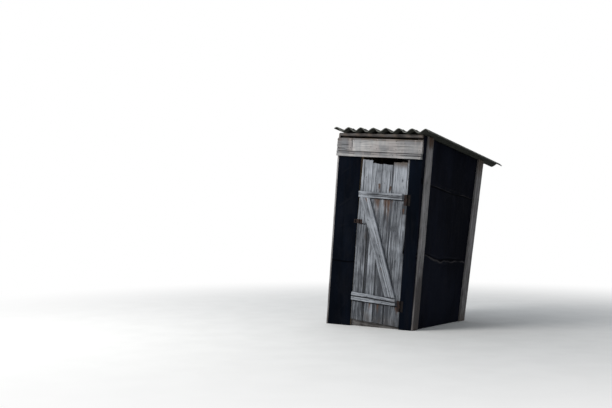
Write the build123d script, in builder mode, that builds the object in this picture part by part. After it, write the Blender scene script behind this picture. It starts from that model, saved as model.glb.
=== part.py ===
from build123d import *
import os
from math import atan, cos, radians, sin, tan

# Leaning plank outhouse with a corrugated roof sheet and a ledged and braced door.
# Millimetres. +Z is up, the doorway faces -Y, +X is to the right of someone facing the door.
# The whole frame leans to the right, so almost every piece is placed in the leaning frame
# "shed": x to the right, y to the back, z up the posts, with the front wall's face at y = 0.
# What stands on the ground is cut off level with it.

# Overall shape
lean = 4.8
width = 1040.0
depth_at_ground = 1105.0
back_rake = 6.3
front_height = 1910.0
roof_pitch = 8.2
below_ground = 90.0

# Timber and felt
sheathing = 22.0
felt = 4.0
corner_board = 20.0
corner_board_width = 123.0
askew_board_width = 106.0
askew_board_lean = 1.7
post = 60.0
sill_width = 100.0
sill_height = 110.0
frame_gap = 0.5

# Floor
floor_board = 22.0
floor_board_gap = 6.0
floor_side_gap = 1.5
floor_board_count = 8
joist_width = 60.0
joist_height = 60.0
drop_hole_length = 330.0
drop_hole_boards = 2
drop_hole_centre = 0.56

# Roof
roof_rise = 51.0
rafter_width = 85.0
rafter_height = 45.0
batten_width = 55.0
batten_height = 30.0
middle_batten_place = 0.45
rail_height = 105.0
girt_level = 880.0
girt_thickness = 40.0

# Corrugated sheet
sheet_length = 1700.0
sheet_thickness = 5.8
wave_count = 8
wave_pitch = 150.0
wave_height = 40.0
wave_flank = 45.0
sheet_left_margin = 32.0
sheet_right_margin = 48.0
sheet_front_overhang = 93.0
sheet_shift = 29.0
sheet_seat_gap = 0.3

# Doorway and front boards; the doorway ends behind the lath, and the door stops under it
door_left = -214.0
door_width = 568.0
door_gap = 6.0
door_left_taper = 20.0
taper_start = 1150.0
door_top_gap = 27.0
door_ground_clearance = 24.0
doorway_cover = 13.0
door_stop = 14.0
door_post_width = 62.0
header_height = 131.0
header_thickness = 22.0
header_right_setback = 21.0
header_patch_length = 194.0
header_joint = 3.0
header_lath_height = 54.0
header_lath_thickness = 30.0
header_lath_right_setback = 26.0

# Door planks: share of the width, and how far each top's two corners have rotted down
plank_thickness = 20.0
plank_share = (0.25, 0.206, 0.224, 0.32)
plank_left_drop = (0.0, 30.0, 36.0, 12.0)
plank_right_drop = (4.0, 44.0, 46.0, 5.0)
plank_gap_top = 3.0
plank_gap_bottom = 9.0
chip_level = 778.0
chip_height = 143.0
chip_depth = 14.0
chip_step = 12.0

# Ledges and brace; the lower ledge is split along its middle
ledge_thickness = 25.0
ledge_right_setback = 58.0
upper_ledge_height = 60.0
upper_ledge_drop = 354.0
lower_ledge_left_height = 85.0
lower_ledge_right_height = 60.0
lower_ledge_centre = 293.0
split_start = 70.0
split_stop = 40.0
split_width = 9.0
split_depth = 15.0
brace_width = 100.0
brace_thickness = 22.0
brace_foot = 458.0
brace_head = 84.0
brace_ledge_gap = 2.0

# Butt hinges
hinge_height = 108.0
hinge_leaf_width = 36.0
hinge_leaf = 2.5
hinge_knuckle = 6.5
hinge_pin = 3.5
hinge_pin_clearance = 0.1
hinge_knuckle_gap = 0.6
hinge_stand_off = 0.4
upper_hinge_drop = 28.0
lower_hinge_drop = 31.0

# Hasp and staple
hasp_height = 42.0
hasp_below_ledge = 281.0
hasp_plate = 2.5
hasp_knuckle = 4.5
hasp_pin = 2.0
hasp_axis_from_edge = 24.0
hasp_base_length = 30.0
hasp_reach = 62.0
hasp_tip_height = 36.0
hasp_lift = 3.0
staple_wire = 5.0
staple_span = 16.0
staple_stand_out = 26.0
staple_from_edge = 18.0
slot_width = 16.0
slot_clearance = 3.0
slot_offset = 2.3

# Felt courses on the right side, measured down from the roof or up from the ground
upper_lap_drop = 400.0
lower_lap_height = 715.0
lap_gap = 0.5

# Worked out from the sizes above
slope = tan(radians(roof_pitch))
rake = tan(radians(back_rake))
half_width = width / 2
felt_face = half_width - corner_board
wall_face = felt_face - felt
inner_face = wall_face - sheathing
roof_height = front_height + roof_rise
rafter_drop = rafter_height / cos(radians(roof_pitch))
front_felt_face = -felt
header_bottom = front_height - header_height
lath_bottom = header_bottom - header_lath_height
doorway_top = lath_bottom + doorway_cover
door_top = lath_bottom - door_top_gap
door_right = door_left + door_width
upper_ledge_centre = door_top - upper_ledge_drop
upper_hinge_centre = upper_ledge_centre - upper_hinge_drop
lower_hinge_centre = lower_ledge_centre - lower_hinge_drop
hasp_centre = upper_ledge_centre - hasp_below_ledge

# Corrugated profile, measured from the valleys' underside:
# crest and valley arcs of one radius, joined by straight flanks
flank_sin = sin(radians(wave_flank))
flank_cos = cos(radians(wave_flank))
wave_radius = (wave_pitch / 2 * flank_sin - wave_height * flank_cos) / (2 - 2 * flank_cos)
first_crest = sheet_shift - (wave_count - 1) * wave_pitch / 2
mid_level = (wave_height + sheet_thickness) / 2


def crest_end(index, side, skin):
    """End of a crest's arc, on the surface that lies skin above the middle of the sheet."""
    reach = wave_radius + skin
    crest_level = mid_level + wave_height / 2
    return (
        first_crest + index * wave_pitch + side * reach * flank_sin,
        crest_level - wave_radius + reach * flank_cos,
    )


def sheet_edge(side, skin):
    """Corner of the sheet's side edge, where the outer flank is cut off square."""
    index = 0 if side < 0 else wave_count - 1
    margin = sheet_left_margin if side < 0 else sheet_right_margin
    start = crest_end(index, side, skin)
    run = (margin - wave_radius * flank_sin) / flank_cos
    return (start[0] + side * run * flank_cos, start[1] - run * flank_sin)


# The origin is the middle of the object's own box, on the ground: the roof sheet reaches
# furthest to the front, back and right, and the left corner boards furthest to the left.
sheet_front = -sheet_front_overhang
sheet_front_level = roof_height + slope * sheet_front_overhang + sheet_seat_gap
edge_x, edge_rise = sheet_edge(1, sheet_thickness / 2)
reach_right = edge_x * cos(radians(lean)) + sin(radians(lean)) * (
    sheet_front_level + edge_rise * cos(radians(roof_pitch))
)
reach_left = -half_width / cos(radians(lean))
sheet_back = sheet_front + sheet_length * cos(radians(roof_pitch))
reach_back = sheet_back + (wave_height + sheet_thickness) * sin(radians(roof_pitch))
shed = Plane(
    origin=(-(reach_left + reach_right) / 2, -(sheet_front + reach_back) / 2, 0),
    x_dir=(cos(radians(lean)), 0, -sin(radians(lean))),
    z_dir=(sin(radians(lean)), 0, cos(radians(lean))),
)


def side_plane(x):
    """Plane of an outline seen from the side: local x runs back, local y up, normal to the right."""
    return Plane(
        origin=shed.from_local_coords((x, 0, 0)), x_dir=shed.y_dir, z_dir=shed.x_dir
    )


def front_plane(y):
    """Plane of an outline seen from the front: local x runs right, local y up, normal forwards."""
    return Plane(
        origin=shed.from_local_coords((0, y, 0)), x_dir=shed.x_dir, z_dir=-shed.y_dir
    )


def roof_line(y, drop=0.0):
    """Height of the roof's underside at y, less an upright drop."""
    return roof_height - slope * y - drop


def back_line(z, inset=0.0):
    """Place of the raking back face at height z, less an inset towards the front."""
    return depth_at_ground + rake * z - inset


def back_corner(inset, drop=0.0):
    """Point where the back line, inset, meets the roof's underside, dropped."""
    z = (roof_height - drop - slope * (depth_at_ground - inset)) / (1 + slope * rake)
    return (back_line(z, inset), z)


def level_to_ground(x):
    """Height of the ground at x, measured up the leaning frame."""
    return x * tan(radians(lean))


def add_side_slab(x_from, x_to, outline):
    """Extrude an outline seen from the side from x_from to x_to."""
    with BuildSketch(side_plane(x_from)) as profile:
        with BuildLine():
            Polyline(*outline, close=True)
        make_face()
    extrude(profile.sketch, amount=x_to - x_from)


def add_front_slab(y_back, thickness, outline):
    """Extrude an outline seen from the front forwards from y_back."""
    with BuildSketch(front_plane(y_back)) as profile:
        with BuildLine():
            Polyline(*outline, close=True)
        make_face()
    extrude(profile.sketch, amount=thickness)


def box_outline(low_u, high_u, low_v, high_v):
    """Corners of an upright rectangle."""
    return [(low_u, low_v), (high_u, low_v), (high_u, high_v), (low_u, high_v)]


def cut_at_ground():
    """Cut off what would be below the ground."""
    split(bisect_by=Plane.XY, keep=Keep.TOP)


pieces = {}

# Ground sills: front and back ones from side to side, the other two between them
front_sill_back = sheathing + sill_width
back_sill_outline = [
    (back_line(-below_ground, felt + sheathing + sill_width), -below_ground),
    (back_line(-below_ground, felt + sheathing), -below_ground),
    (back_line(sill_height, felt + sheathing), sill_height),
    (back_line(sill_height, felt + sheathing + sill_width), sill_height),
]
side_sill_outline = [
    (front_sill_back + frame_gap, -below_ground),
    (back_line(-below_ground, felt + sheathing + sill_width + frame_gap), -below_ground),
    (back_line(sill_height, felt + sheathing + sill_width + frame_gap), sill_height),
    (front_sill_back + frame_gap, sill_height),
]
with BuildPart() as ground_sills:
    add_side_slab(
        -inner_face,
        inner_face,
        box_outline(sheathing, front_sill_back, -below_ground, sill_height),
    )
    add_side_slab(-inner_face, inner_face, back_sill_outline)
    add_side_slab(-inner_face, -inner_face + sill_width, side_sill_outline)
    add_side_slab(inner_face - sill_width, inner_face, side_sill_outline)
    cut_at_ground()
pieces["ground_sills"] = ground_sills

# Floor: two joists between the side sills, and boards from front to back over them.
# The middle boards stop short on both sides of the drop hole.
posts_front = sheathing + post
posts_back_inset = felt + sheathing + post
floor_front = posts_front + frame_gap
floor_back = back_line(sill_height, posts_back_inset) - frame_gap
hole_middle = floor_front + drop_hole_centre * (floor_back - floor_front)
hole_front = hole_middle - drop_hole_length / 2
hole_back = hole_middle + drop_hole_length / 2
with BuildPart() as floor_joists:
    for edge in (hole_front - joist_width, hole_back):
        add_side_slab(
            -inner_face + sill_width + frame_gap,
            inner_face - sill_width - frame_gap,
            box_outline(edge, edge + joist_width, sill_height - joist_height, sill_height),
        )
pieces["floor_joists"] = floor_joists

floor_width = 2 * (inner_face - floor_side_gap)
floor_board_step = (floor_width + floor_board_gap) / floor_board_count
floor_board_width = floor_board_step - floor_board_gap
hole_board_first = (floor_board_count - drop_hole_boards) // 2
with BuildPart() as floor_boards:
    for number in range(floor_board_count):
        middle = (number - (floor_board_count - 1) / 2) * floor_board_step
        left = middle - floor_board_width / 2
        right = middle + floor_board_width / 2
        in_hole = hole_board_first <= number < hole_board_first + drop_hole_boards
        spans = [(floor_front, floor_back)]
        if in_hole:
            spans = [(floor_front, hole_front), (hole_back, floor_back)]
        for start, stop in spans:
            outline = box_outline(start, stop, sill_height, sill_height + floor_board)
            add_side_slab(left, right, outline)
pieces["floor_boards"] = floor_boards

# Posts stand on the sills; the top rails lie on the posts, bevelled to the roof's slope
front_rail_top = [
    (sheathing, roof_line(sheathing, rafter_drop)),
    (posts_front, roof_line(posts_front, rafter_drop)),
]
front_rail_bottom = roof_line(posts_front, rafter_drop) - rail_height
front_post_outline = box_outline(sheathing, posts_front, sill_height, front_rail_bottom)
back_rail_outline = [
    back_corner(posts_back_inset, rafter_drop + rail_height),
    back_corner(felt + sheathing, rafter_drop + rail_height),
    back_corner(felt + sheathing, rafter_drop),
    back_corner(posts_back_inset, rafter_drop),
]
back_post_outline = [
    (back_line(sill_height, posts_back_inset), sill_height),
    (back_line(sill_height, felt + sheathing), sill_height),
    back_corner(felt + sheathing, rafter_drop + rail_height),
    back_corner(posts_back_inset, rafter_drop + rail_height),
]
with BuildPart() as corner_posts:
    for outline in (front_post_outline, back_post_outline):
        add_side_slab(-inner_face, -inner_face + post, outline)
        add_side_slab(inner_face - post, inner_face, outline)
pieces["corner_posts"] = corner_posts

with BuildPart() as door_posts:
    left_post_edge = door_left - door_gap + door_stop
    right_post_edge = door_right + door_gap - door_stop
    add_side_slab(left_post_edge - door_post_width, left_post_edge, front_post_outline)
    add_side_slab(right_post_edge, right_post_edge + door_post_width, front_post_outline)
pieces["door_posts"] = door_posts

with BuildPart() as front_top_rail:
    rail_foot = [(posts_front, front_rail_bottom), (sheathing, front_rail_bottom)]
    add_side_slab(-inner_face, inner_face, front_rail_top + rail_foot)
pieces["front_top_rail"] = front_top_rail

with BuildPart() as back_top_rail:
    add_side_slab(-inner_face, inner_face, back_rail_outline)
pieces["back_top_rail"] = back_top_rail

# Girts halfway up the sides and the back, between the corner posts
girt_low = girt_level
girt_high = girt_low + post
side_girt_outline = [
    (posts_front, girt_low),
    (back_line(girt_low, posts_back_inset), girt_low),
    (back_line(girt_high, posts_back_inset), girt_high),
    (posts_front, girt_high),
]
back_girt_outline = [
    (back_line(girt_low, posts_back_inset), girt_low),
    (back_line(girt_low, felt + sheathing), girt_low),
    (back_line(girt_high, felt + sheathing), girt_high),
    (back_line(girt_high, posts_back_inset), girt_high),
]
with BuildPart() as wall_girts:
    add_side_slab(-inner_face, -inner_face + girt_thickness, side_girt_outline)
    add_side_slab(inner_face - girt_thickness, inner_face, side_girt_outline)
    add_side_slab(-inner_face + post, inner_face - post, back_girt_outline)
pieces["wall_girts"] = wall_girts

# Sheathing slabs: the front ones cover the edges of the side ones
side_wall_outline = [
    (sheathing, -below_ground),
    (back_line(-below_ground, felt + sheathing), -below_ground),
    back_corner(felt + sheathing, rafter_drop),
    (sheathing, roof_line(sheathing, rafter_drop)),
]
back_wall_outline = [
    (back_line(-below_ground, felt + sheathing), -below_ground),
    (back_line(-below_ground, felt), -below_ground),
    back_corner(felt, rafter_drop),
    back_corner(felt + sheathing, rafter_drop),
]
front_wall_outline = [
    (0, -below_ground),
    (sheathing, -below_ground),
    (sheathing, roof_line(sheathing, rafter_drop)),
    (0, roof_line(0, rafter_drop)),
]
over_door_outline = [
    (0, doorway_top),
    (sheathing, doorway_top),
    (sheathing, roof_line(sheathing, rafter_drop)),
    (0, roof_line(0, rafter_drop)),
]
with BuildPart() as left_wall:
    add_side_slab(-wall_face, -inner_face, side_wall_outline)
    cut_at_ground()
pieces["left_wall"] = left_wall

with BuildPart() as right_wall:
    add_side_slab(inner_face, wall_face, side_wall_outline)
    cut_at_ground()
pieces["right_wall"] = right_wall

with BuildPart() as back_wall:
    add_side_slab(-wall_face, wall_face, back_wall_outline)
    cut_at_ground()
pieces["back_wall"] = back_wall

with BuildPart() as front_wall_left:
    add_side_slab(-wall_face, door_left - door_gap, front_wall_outline)
    cut_at_ground()
pieces["front_wall_left"] = front_wall_left

with BuildPart() as front_wall_right:
    add_side_slab(door_right + door_gap, wall_face, front_wall_outline)
    cut_at_ground()
pieces["front_wall_right"] = front_wall_right

with BuildPart() as front_wall_over_door:
    add_side_slab(door_left - door_gap, door_right + door_gap, over_door_outline)
pieces["front_wall_over_door"] = front_wall_over_door

# Roofing felt on all four walls; the front panels stop under the header board's lath
front_felt_outline = box_outline(front_felt_face, 0, -below_ground, front_height)
with BuildPart() as front_left_felt:
    add_side_slab(-wall_face, door_left - door_gap, front_felt_outline)
    cut_at_ground()
pieces["front_left_felt"] = front_left_felt

with BuildPart() as front_right_felt:
    add_side_slab(door_right + door_gap, wall_face, front_felt_outline)
    cut_at_ground()
pieces["front_right_felt"] = front_right_felt

with BuildPart() as left_felt:
    side_felt_outline = [
        (front_felt_face, -below_ground),
        (back_line(-below_ground), -below_ground),
        back_corner(0),
        (front_felt_face, roof_line(front_felt_face)),
    ]
    add_side_slab(-felt_face, -wall_face, side_felt_outline)
    cut_at_ground()
pieces["left_felt"] = left_felt

with BuildPart() as back_felt:
    back_felt_outline = [
        (back_line(-below_ground, felt), -below_ground),
        (back_line(-below_ground), -below_ground),
        back_corner(0, rafter_drop),
        back_corner(felt, rafter_drop),
    ]
    add_side_slab(-wall_face, wall_face, back_felt_outline)
    cut_at_ground()
pieces["back_felt"] = back_felt

with BuildPart() as right_felt_upper:
    upper_outline = [
        (front_felt_face, roof_line(front_felt_face, rafter_drop + upper_lap_drop)),
        back_corner(0, rafter_drop + upper_lap_drop),
        back_corner(0),
        (front_felt_face, roof_line(front_felt_face)),
    ]
    add_side_slab(wall_face, felt_face, upper_outline)
pieces["right_felt_upper"] = right_felt_upper

with BuildPart() as right_felt_middle:
    middle_drop = rafter_drop + upper_lap_drop + lap_gap
    middle_outline = [
        (front_felt_face, lower_lap_height),
        (back_line(lower_lap_height), lower_lap_height),
        back_corner(0, middle_drop),
        (front_felt_face, roof_line(front_felt_face, middle_drop)),
    ]
    add_side_slab(wall_face, felt_face, middle_outline)
pieces["right_felt_middle"] = right_felt_middle

with BuildPart() as right_felt_lower:
    lower_top = lower_lap_height - lap_gap
    lower_outline = [
        (front_felt_face, -below_ground),
        (back_line(-below_ground), -below_ground),
        (back_line(lower_top), lower_top),
        (front_felt_face, lower_top),
    ]
    add_side_slab(wall_face, felt_face, lower_outline)
    cut_at_ground()
pieces["right_felt_lower"] = right_felt_lower

# Corner boards nailed over the felt on both sides; the narrow one at the right of the front
# leans back
board_lean = tan(radians(askew_board_lean))


def leaning_board_edge(inset):
    """Foot and head of an askew board's edge that starts an inset behind the front felt's face."""
    foot = front_felt_face + inset
    head = roof_line(foot) / (1 + slope * board_lean)
    return [
        (foot - board_lean * below_ground, -below_ground),
        (foot + board_lean * head, head),
    ]


front_corner_outline = [
    (front_felt_face, -below_ground),
    (front_felt_face + corner_board_width, -below_ground),
    (front_felt_face + corner_board_width, roof_line(front_felt_face + corner_board_width)),
    (front_felt_face, roof_line(front_felt_face)),
]
askew_front_edge = leaning_board_edge(0)
askew_back_edge = leaning_board_edge(askew_board_width)
askew_outline = [askew_front_edge[0], *askew_back_edge, askew_front_edge[1]]
back_corner_outline = [
    (back_line(-below_ground, corner_board_width), -below_ground),
    (back_line(-below_ground), -below_ground),
    back_corner(0),
    back_corner(corner_board_width),
]
for side_name, x_from, x_to, front_outline in (
    ("left", -half_width, -felt_face, front_corner_outline),
    ("right", felt_face, half_width, askew_outline),
):
    for end_name, outline in (
        ("front", front_outline),
        ("back", back_corner_outline),
    ):
        with BuildPart() as board:
            add_side_slab(x_from, x_to, outline)
            cut_at_ground()
        pieces[f"{side_name}_{end_name}_corner_board"] = board

# Header: a long board with a shorter patch at its left, and a lath under both
header_left = -half_width
header_right = half_width - header_right_setback
patch_right = header_left + header_patch_length
with BuildPart() as header_board_long:
    add_front_slab(
        front_felt_face,
        header_thickness,
        box_outline(patch_right + header_joint, header_right, header_bottom, front_height),
    )
pieces["header_board_long"] = header_board_long

with BuildPart() as header_board_short:
    add_front_slab(
        front_felt_face,
        header_thickness,
        box_outline(header_left, patch_right, header_bottom, front_height),
    )
pieces["header_board_short"] = header_board_short

with BuildPart() as header_lath:
    lath_right = half_width - header_lath_right_setback
    add_front_slab(
        front_felt_face,
        header_lath_thickness,
        box_outline(header_left, lath_right, lath_bottom, header_bottom),
    )
pieces["header_lath"] = header_lath

# Rafters lie on the side walls, behind the felt, from the eaves batten to the back felt's face
rafter_back = back_corner(0, rafter_drop)[0]
rafter_inner = wall_face - rafter_width
eaves_batten_front = front_felt_face - header_thickness
eaves_batten_back = eaves_batten_front + batten_width


def sloping_outline(y_from, y_to, drop):
    """Outline of a bar that lies along the slope, with its top at the roof's underside."""
    return [
        (y_from, roof_line(y_from, drop)),
        (y_to, roof_line(y_to, drop)),
        (y_to, roof_line(y_to)),
        (y_from, roof_line(y_from)),
    ]


with BuildPart() as rafters:
    rafter_outline = sloping_outline(eaves_batten_back, rafter_back, rafter_drop)
    add_side_slab(-wall_face, -rafter_inner, rafter_outline)
    add_side_slab(rafter_inner, wall_face, rafter_outline)
pieces["rafters"] = rafters

# Battens carry the sheet: one across the rafters' front ends, two between the rafters
batten_drop = batten_height / cos(radians(roof_pitch))
with BuildPart() as roof_battens:
    eaves_outline = sloping_outline(eaves_batten_front, eaves_batten_back, batten_drop)
    add_side_slab(-wall_face, wall_face, eaves_outline)
    middle_front = middle_batten_place * rafter_back
    rear_front = rafter_back - 2 * batten_width
    for batten_front in (middle_front, rear_front):
        add_side_slab(
            -rafter_inner,
            rafter_inner,
            sloping_outline(batten_front, batten_front + batten_width, batten_drop),
        )
pieces["roof_battens"] = roof_battens

# Corrugated sheet: its section stands square to the slope and is pulled along it
roof_start = shed.from_local_coords((0, sheet_front, sheet_front_level))
slope_back = shed.y_dir * cos(radians(roof_pitch)) - shed.z_dir * sin(radians(roof_pitch))
section_plane = Plane(origin=roof_start, x_dir=shed.x_dir, z_dir=-slope_back)


def wave_line(skin):
    """Draw one face of the sheet from left to right, as arcs and flanks on the pen's line."""
    crest_centre = mid_level + wave_height / 2 - wave_radius
    valley_centre = mid_level - wave_height / 2 + wave_radius
    Line(sheet_edge(-1, skin), crest_end(0, -1, skin))
    for index in range(wave_count):
        crest_x = first_crest + index * wave_pitch
        CenterArc((crest_x, crest_centre), wave_radius + skin, 90 + wave_flank, -2 * wave_flank)
        if index == wave_count - 1:
            continue
        valley_x = crest_x + wave_pitch / 2
        dip = wave_radius - skin
        valley_start = (valley_x - dip * flank_sin, valley_centre - dip * flank_cos)
        valley_end = (valley_x + dip * flank_sin, valley_centre - dip * flank_cos)
        Line(crest_end(index, 1, skin), valley_start)
        CenterArc((valley_x, valley_centre), dip, 270 - wave_flank, 2 * wave_flank)
        Line(valley_end, crest_end(index + 1, -1, skin))
    Line(crest_end(wave_count - 1, 1, skin), sheet_edge(1, skin))


with BuildPart() as roof_sheet:
    with BuildSketch(section_plane) as wave_section:
        with BuildLine():
            wave_line(sheet_thickness / 2)
            wave_line(-sheet_thickness / 2)
            Line(sheet_edge(-1, sheet_thickness / 2), sheet_edge(-1, -sheet_thickness / 2))
            Line(sheet_edge(1, sheet_thickness / 2), sheet_edge(1, -sheet_thickness / 2))
        make_face()
    extrude(amount=-sheet_length)
pieces["roof_sheet"] = roof_sheet

# Door planks, slightly tapered, so that the gaps between them open towards the ground;
# above the taper's start the first one's left edge runs in towards its top
door_front = front_felt_face
door_bottom = level_to_ground(door_right) + door_ground_clearance
plank_back = door_front + plank_thickness
plank_left = door_left


def door_left_at(z):
    """Place of the door's left edge at a height above the taper's start."""
    return door_left + door_left_taper * (z - taper_start) / (door_top - taper_start)


for number, share in enumerate(plank_share):
    plank_right = plank_left + share * door_width
    first = number == 0
    last = number == len(plank_share) - 1
    top_left = door_left_at(door_top) if first else plank_left + plank_gap_top / 2
    foot_left = plank_left if first else plank_left + plank_gap_bottom / 2
    top_right = plank_right if last else plank_right - plank_gap_top / 2
    foot_right = plank_right if last else plank_right - plank_gap_bottom / 2
    chip = [
        (door_right, chip_level),
        (door_right - chip_depth, chip_level + chip_step),
        (door_right, chip_level + chip_height),
    ]
    with BuildPart() as plank:
        add_front_slab(
            plank_back,
            plank_thickness,
            [
                (foot_left, door_bottom),
                (foot_right, door_bottom),
                *(chip if last else []),
                (top_right, door_top - plank_right_drop[number]),
                (top_left, door_top - plank_left_drop[number]),
                *([(door_left, taper_start)] if first else []),
            ],
        )
    pieces[f"door_plank_{number + 1}"] = plank
    plank_left = plank_right

# Ledges across the planks, and the brace between them
ledge_right = door_right - ledge_right_setback
upper_ledge_foot = upper_ledge_centre - upper_ledge_height / 2
with BuildPart() as door_upper_ledge:
    add_front_slab(
        door_front,
        ledge_thickness,
        box_outline(
            door_left_at(upper_ledge_centre),
            ledge_right,
            upper_ledge_foot,
            upper_ledge_foot + upper_ledge_height,
        ),
    )
pieces["door_upper_ledge"] = door_upper_ledge

lower_ledge_top = lower_ledge_centre + lower_ledge_left_height / 2
lower_ledge_right_top = lower_ledge_centre + lower_ledge_right_height / 2
with BuildPart() as door_lower_ledge:
    add_front_slab(
        door_front,
        ledge_thickness,
        [
            (door_left, lower_ledge_centre - lower_ledge_left_height / 2),
            (ledge_right, lower_ledge_centre - lower_ledge_right_height / 2),
            (ledge_right, lower_ledge_right_top),
            (door_left, lower_ledge_top),
        ],
    )
    with BuildSketch(front_plane(door_front - ledge_thickness)) as split_mouth:
        with BuildLine():
            Polyline(
                (door_left + split_start, lower_ledge_centre),
                (ledge_right - split_stop, lower_ledge_centre - split_width / 2),
                (ledge_right - split_stop, lower_ledge_centre + split_width / 2),
                close=True,
            )
        make_face()
    extrude(split_mouth.sketch, amount=-split_depth, mode=Mode.SUBTRACT)
pieces["door_lower_ledge"] = door_lower_ledge

brace_top = upper_ledge_foot - brace_ledge_gap
brace_low = lower_ledge_top + brace_ledge_gap
brace_low_x = door_left + brace_foot
brace_top_x = door_left + brace_head
brace_half = brace_width / 2 / cos(atan((brace_low_x - brace_top_x) / (brace_top - brace_low)))
with BuildPart() as door_brace:
    add_front_slab(
        door_front,
        brace_thickness,
        [
            (brace_low_x - brace_half, brace_low),
            (brace_low_x + brace_half, brace_low),
            (brace_top_x + brace_half, brace_top),
            (brace_top_x - brace_half, brace_top),
        ],
    )
pieces["door_brace"] = door_brace

# Butt hinges: the leaf on the post carries the outer knuckles and the pin,
# the leaf on the door has the middle knuckle, bored to turn on it
hinge_x = door_right + door_gap / 2
hinge_y = front_felt_face - hinge_stand_off - hinge_knuckle


def add_knuckle(x, y, z_from, z_to, radius):
    """Add a round knuckle or pin that stands up the leaning frame."""
    with BuildSketch(shed.offset(z_from)) as ring:
        with Locations((x, y)):
            Circle(radius)
    extrude(ring.sketch, amount=z_to - z_from)


def add_leaf(x_from, x_to, z_from, z_to, thickness, back):
    """Add a plate that lies on the front face, or proud of it."""
    add_front_slab(back, thickness, box_outline(x_from, x_to, z_from, z_to))


def bore_knuckle(x, y, z_from, z_to, radius):
    """Bore a knuckle along its axis."""
    with BuildSketch(shed.offset(z_from)) as bore:
        with Locations((x, y)):
            Circle(radius)
    extrude(bore.sketch, amount=z_to - z_from, mode=Mode.SUBTRACT)


def knuckle_levels(centre, height, gap):
    """Levels that part a hinge's height into three knuckles, with a gap between them."""
    third = height / 3
    low = centre - height / 2
    return (
        (low, low + third - gap / 2),
        (low + third + gap / 2, low + 2 * third - gap / 2),
        (low + 2 * third + gap / 2, low + height),
    )


for hinge_name, hinge_centre in (("upper", upper_hinge_centre), ("lower", lower_hinge_centre)):
    low_knuckle, mid_knuckle, top_knuckle = knuckle_levels(
        hinge_centre, hinge_height, hinge_knuckle_gap
    )
    leaf_low = hinge_centre - hinge_height / 2
    leaf_high = hinge_centre + hinge_height / 2
    notch = hinge_knuckle + hinge_knuckle_gap
    with BuildPart() as post_leaf:
        add_leaf(
            hinge_x + notch,
            hinge_x + hinge_leaf_width,
            leaf_low,
            leaf_high,
            hinge_leaf,
            front_felt_face,
        )
        for low, high in (low_knuckle, top_knuckle):
            add_leaf(hinge_x, hinge_x + notch, low, high, hinge_leaf, front_felt_face)
            add_knuckle(hinge_x, hinge_y, low, high, hinge_knuckle)
        bore_knuckle(hinge_x, hinge_y, *mid_knuckle, hinge_knuckle)
        add_knuckle(hinge_x, hinge_y, leaf_low, leaf_high, hinge_pin)
    pieces[f"{hinge_name}_hinge_post_leaf"] = post_leaf
    with BuildPart() as door_leaf:
        add_leaf(
            hinge_x - hinge_leaf_width,
            hinge_x - notch,
            leaf_low,
            leaf_high,
            hinge_leaf,
            front_felt_face,
        )
        add_leaf(hinge_x - notch, hinge_x, *mid_knuckle, hinge_leaf, front_felt_face)
        add_knuckle(hinge_x, hinge_y, *mid_knuckle, hinge_knuckle)
        bore_knuckle(hinge_x, hinge_y, *mid_knuckle, hinge_pin + hinge_pin_clearance)
    pieces[f"{hinge_name}_hinge_door_leaf"] = door_leaf

# Hasp: a base plate with a pin on the first plank, and a strap that reaches over the wall
hasp_x = door_left + hasp_axis_from_edge
hasp_y = front_felt_face - hasp_lift - hasp_knuckle
hasp_low_knuckle, hasp_mid_knuckle, hasp_top_knuckle = knuckle_levels(
    hasp_centre, hasp_height, hinge_knuckle_gap
)
hasp_low = hasp_centre - hasp_height / 2
hasp_high = hasp_centre + hasp_height / 2
base_edge = hasp_x + hasp_knuckle + hinge_knuckle_gap
with BuildPart() as hasp_base:
    add_leaf(
        base_edge, base_edge + hasp_base_length, hasp_low, hasp_high, hasp_plate, front_felt_face
    )
    for low, high in (hasp_low_knuckle, hasp_top_knuckle):
        add_leaf(hasp_x, base_edge, low, high, hasp_lift + hasp_plate, front_felt_face)
        add_knuckle(hasp_x, hasp_y, low, high, hasp_knuckle)
    add_knuckle(hasp_x, hasp_y, hasp_low, hasp_high, hasp_pin)
pieces["hasp_base"] = hasp_base

strap_back = front_felt_face - hasp_lift
strap_edge = hasp_x - hasp_knuckle - hinge_knuckle_gap
strap_tip = hasp_x - hasp_reach
staple_x = door_left - staple_from_edge
slot_half = (staple_span + staple_wire) / 2 + slot_clearance
with BuildPart() as hasp_strap:
    add_front_slab(
        strap_back,
        hasp_plate,
        [
            (strap_tip, hasp_centre - hasp_tip_height / 2),
            (strap_edge, hasp_low),
            (strap_edge, hasp_high),
            (strap_tip, hasp_centre + hasp_tip_height / 2),
        ],
    )
    add_leaf(strap_edge, hasp_x, *hasp_mid_knuckle, hasp_plate, strap_back)
    add_knuckle(hasp_x, hasp_y, *hasp_mid_knuckle, hasp_knuckle)
    bore_knuckle(hasp_x, hasp_y, *hasp_mid_knuckle, hasp_pin + hinge_pin_clearance)
    with BuildSketch(front_plane(strap_back)) as slot:
        with Locations((staple_x - slot_offset, hasp_centre)):
            Rectangle(slot_width, 2 * slot_half)
    extrude(slot.sketch, amount=hasp_plate, mode=Mode.SUBTRACT)
pieces["hasp_strap"] = hasp_strap

# Staple: a bent wire whose loop stands out through the strap's slot
staple_bow = staple_stand_out - staple_span / 2
with BuildPart() as hasp_staple:
    with BuildLine(side_plane(staple_x)) as staple_path:
        leg_low = (front_felt_face, hasp_centre - staple_span / 2)
        bow_low = (front_felt_face - staple_bow, hasp_centre - staple_span / 2)
        bow_top = (front_felt_face - staple_stand_out, hasp_centre)
        bow_high = (front_felt_face - staple_bow, hasp_centre + staple_span / 2)
        leg_high = (front_felt_face, hasp_centre + staple_span / 2)
        Line(leg_low, bow_low)
        ThreePointArc(bow_low, bow_top, bow_high)
        Line(bow_high, leg_high)
    with BuildSketch(Plane(staple_path.line @ 0, z_dir=staple_path.line % 0)):
        Circle(staple_wire / 2)
    sweep()
pieces["hasp_staple"] = hasp_staple

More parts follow.
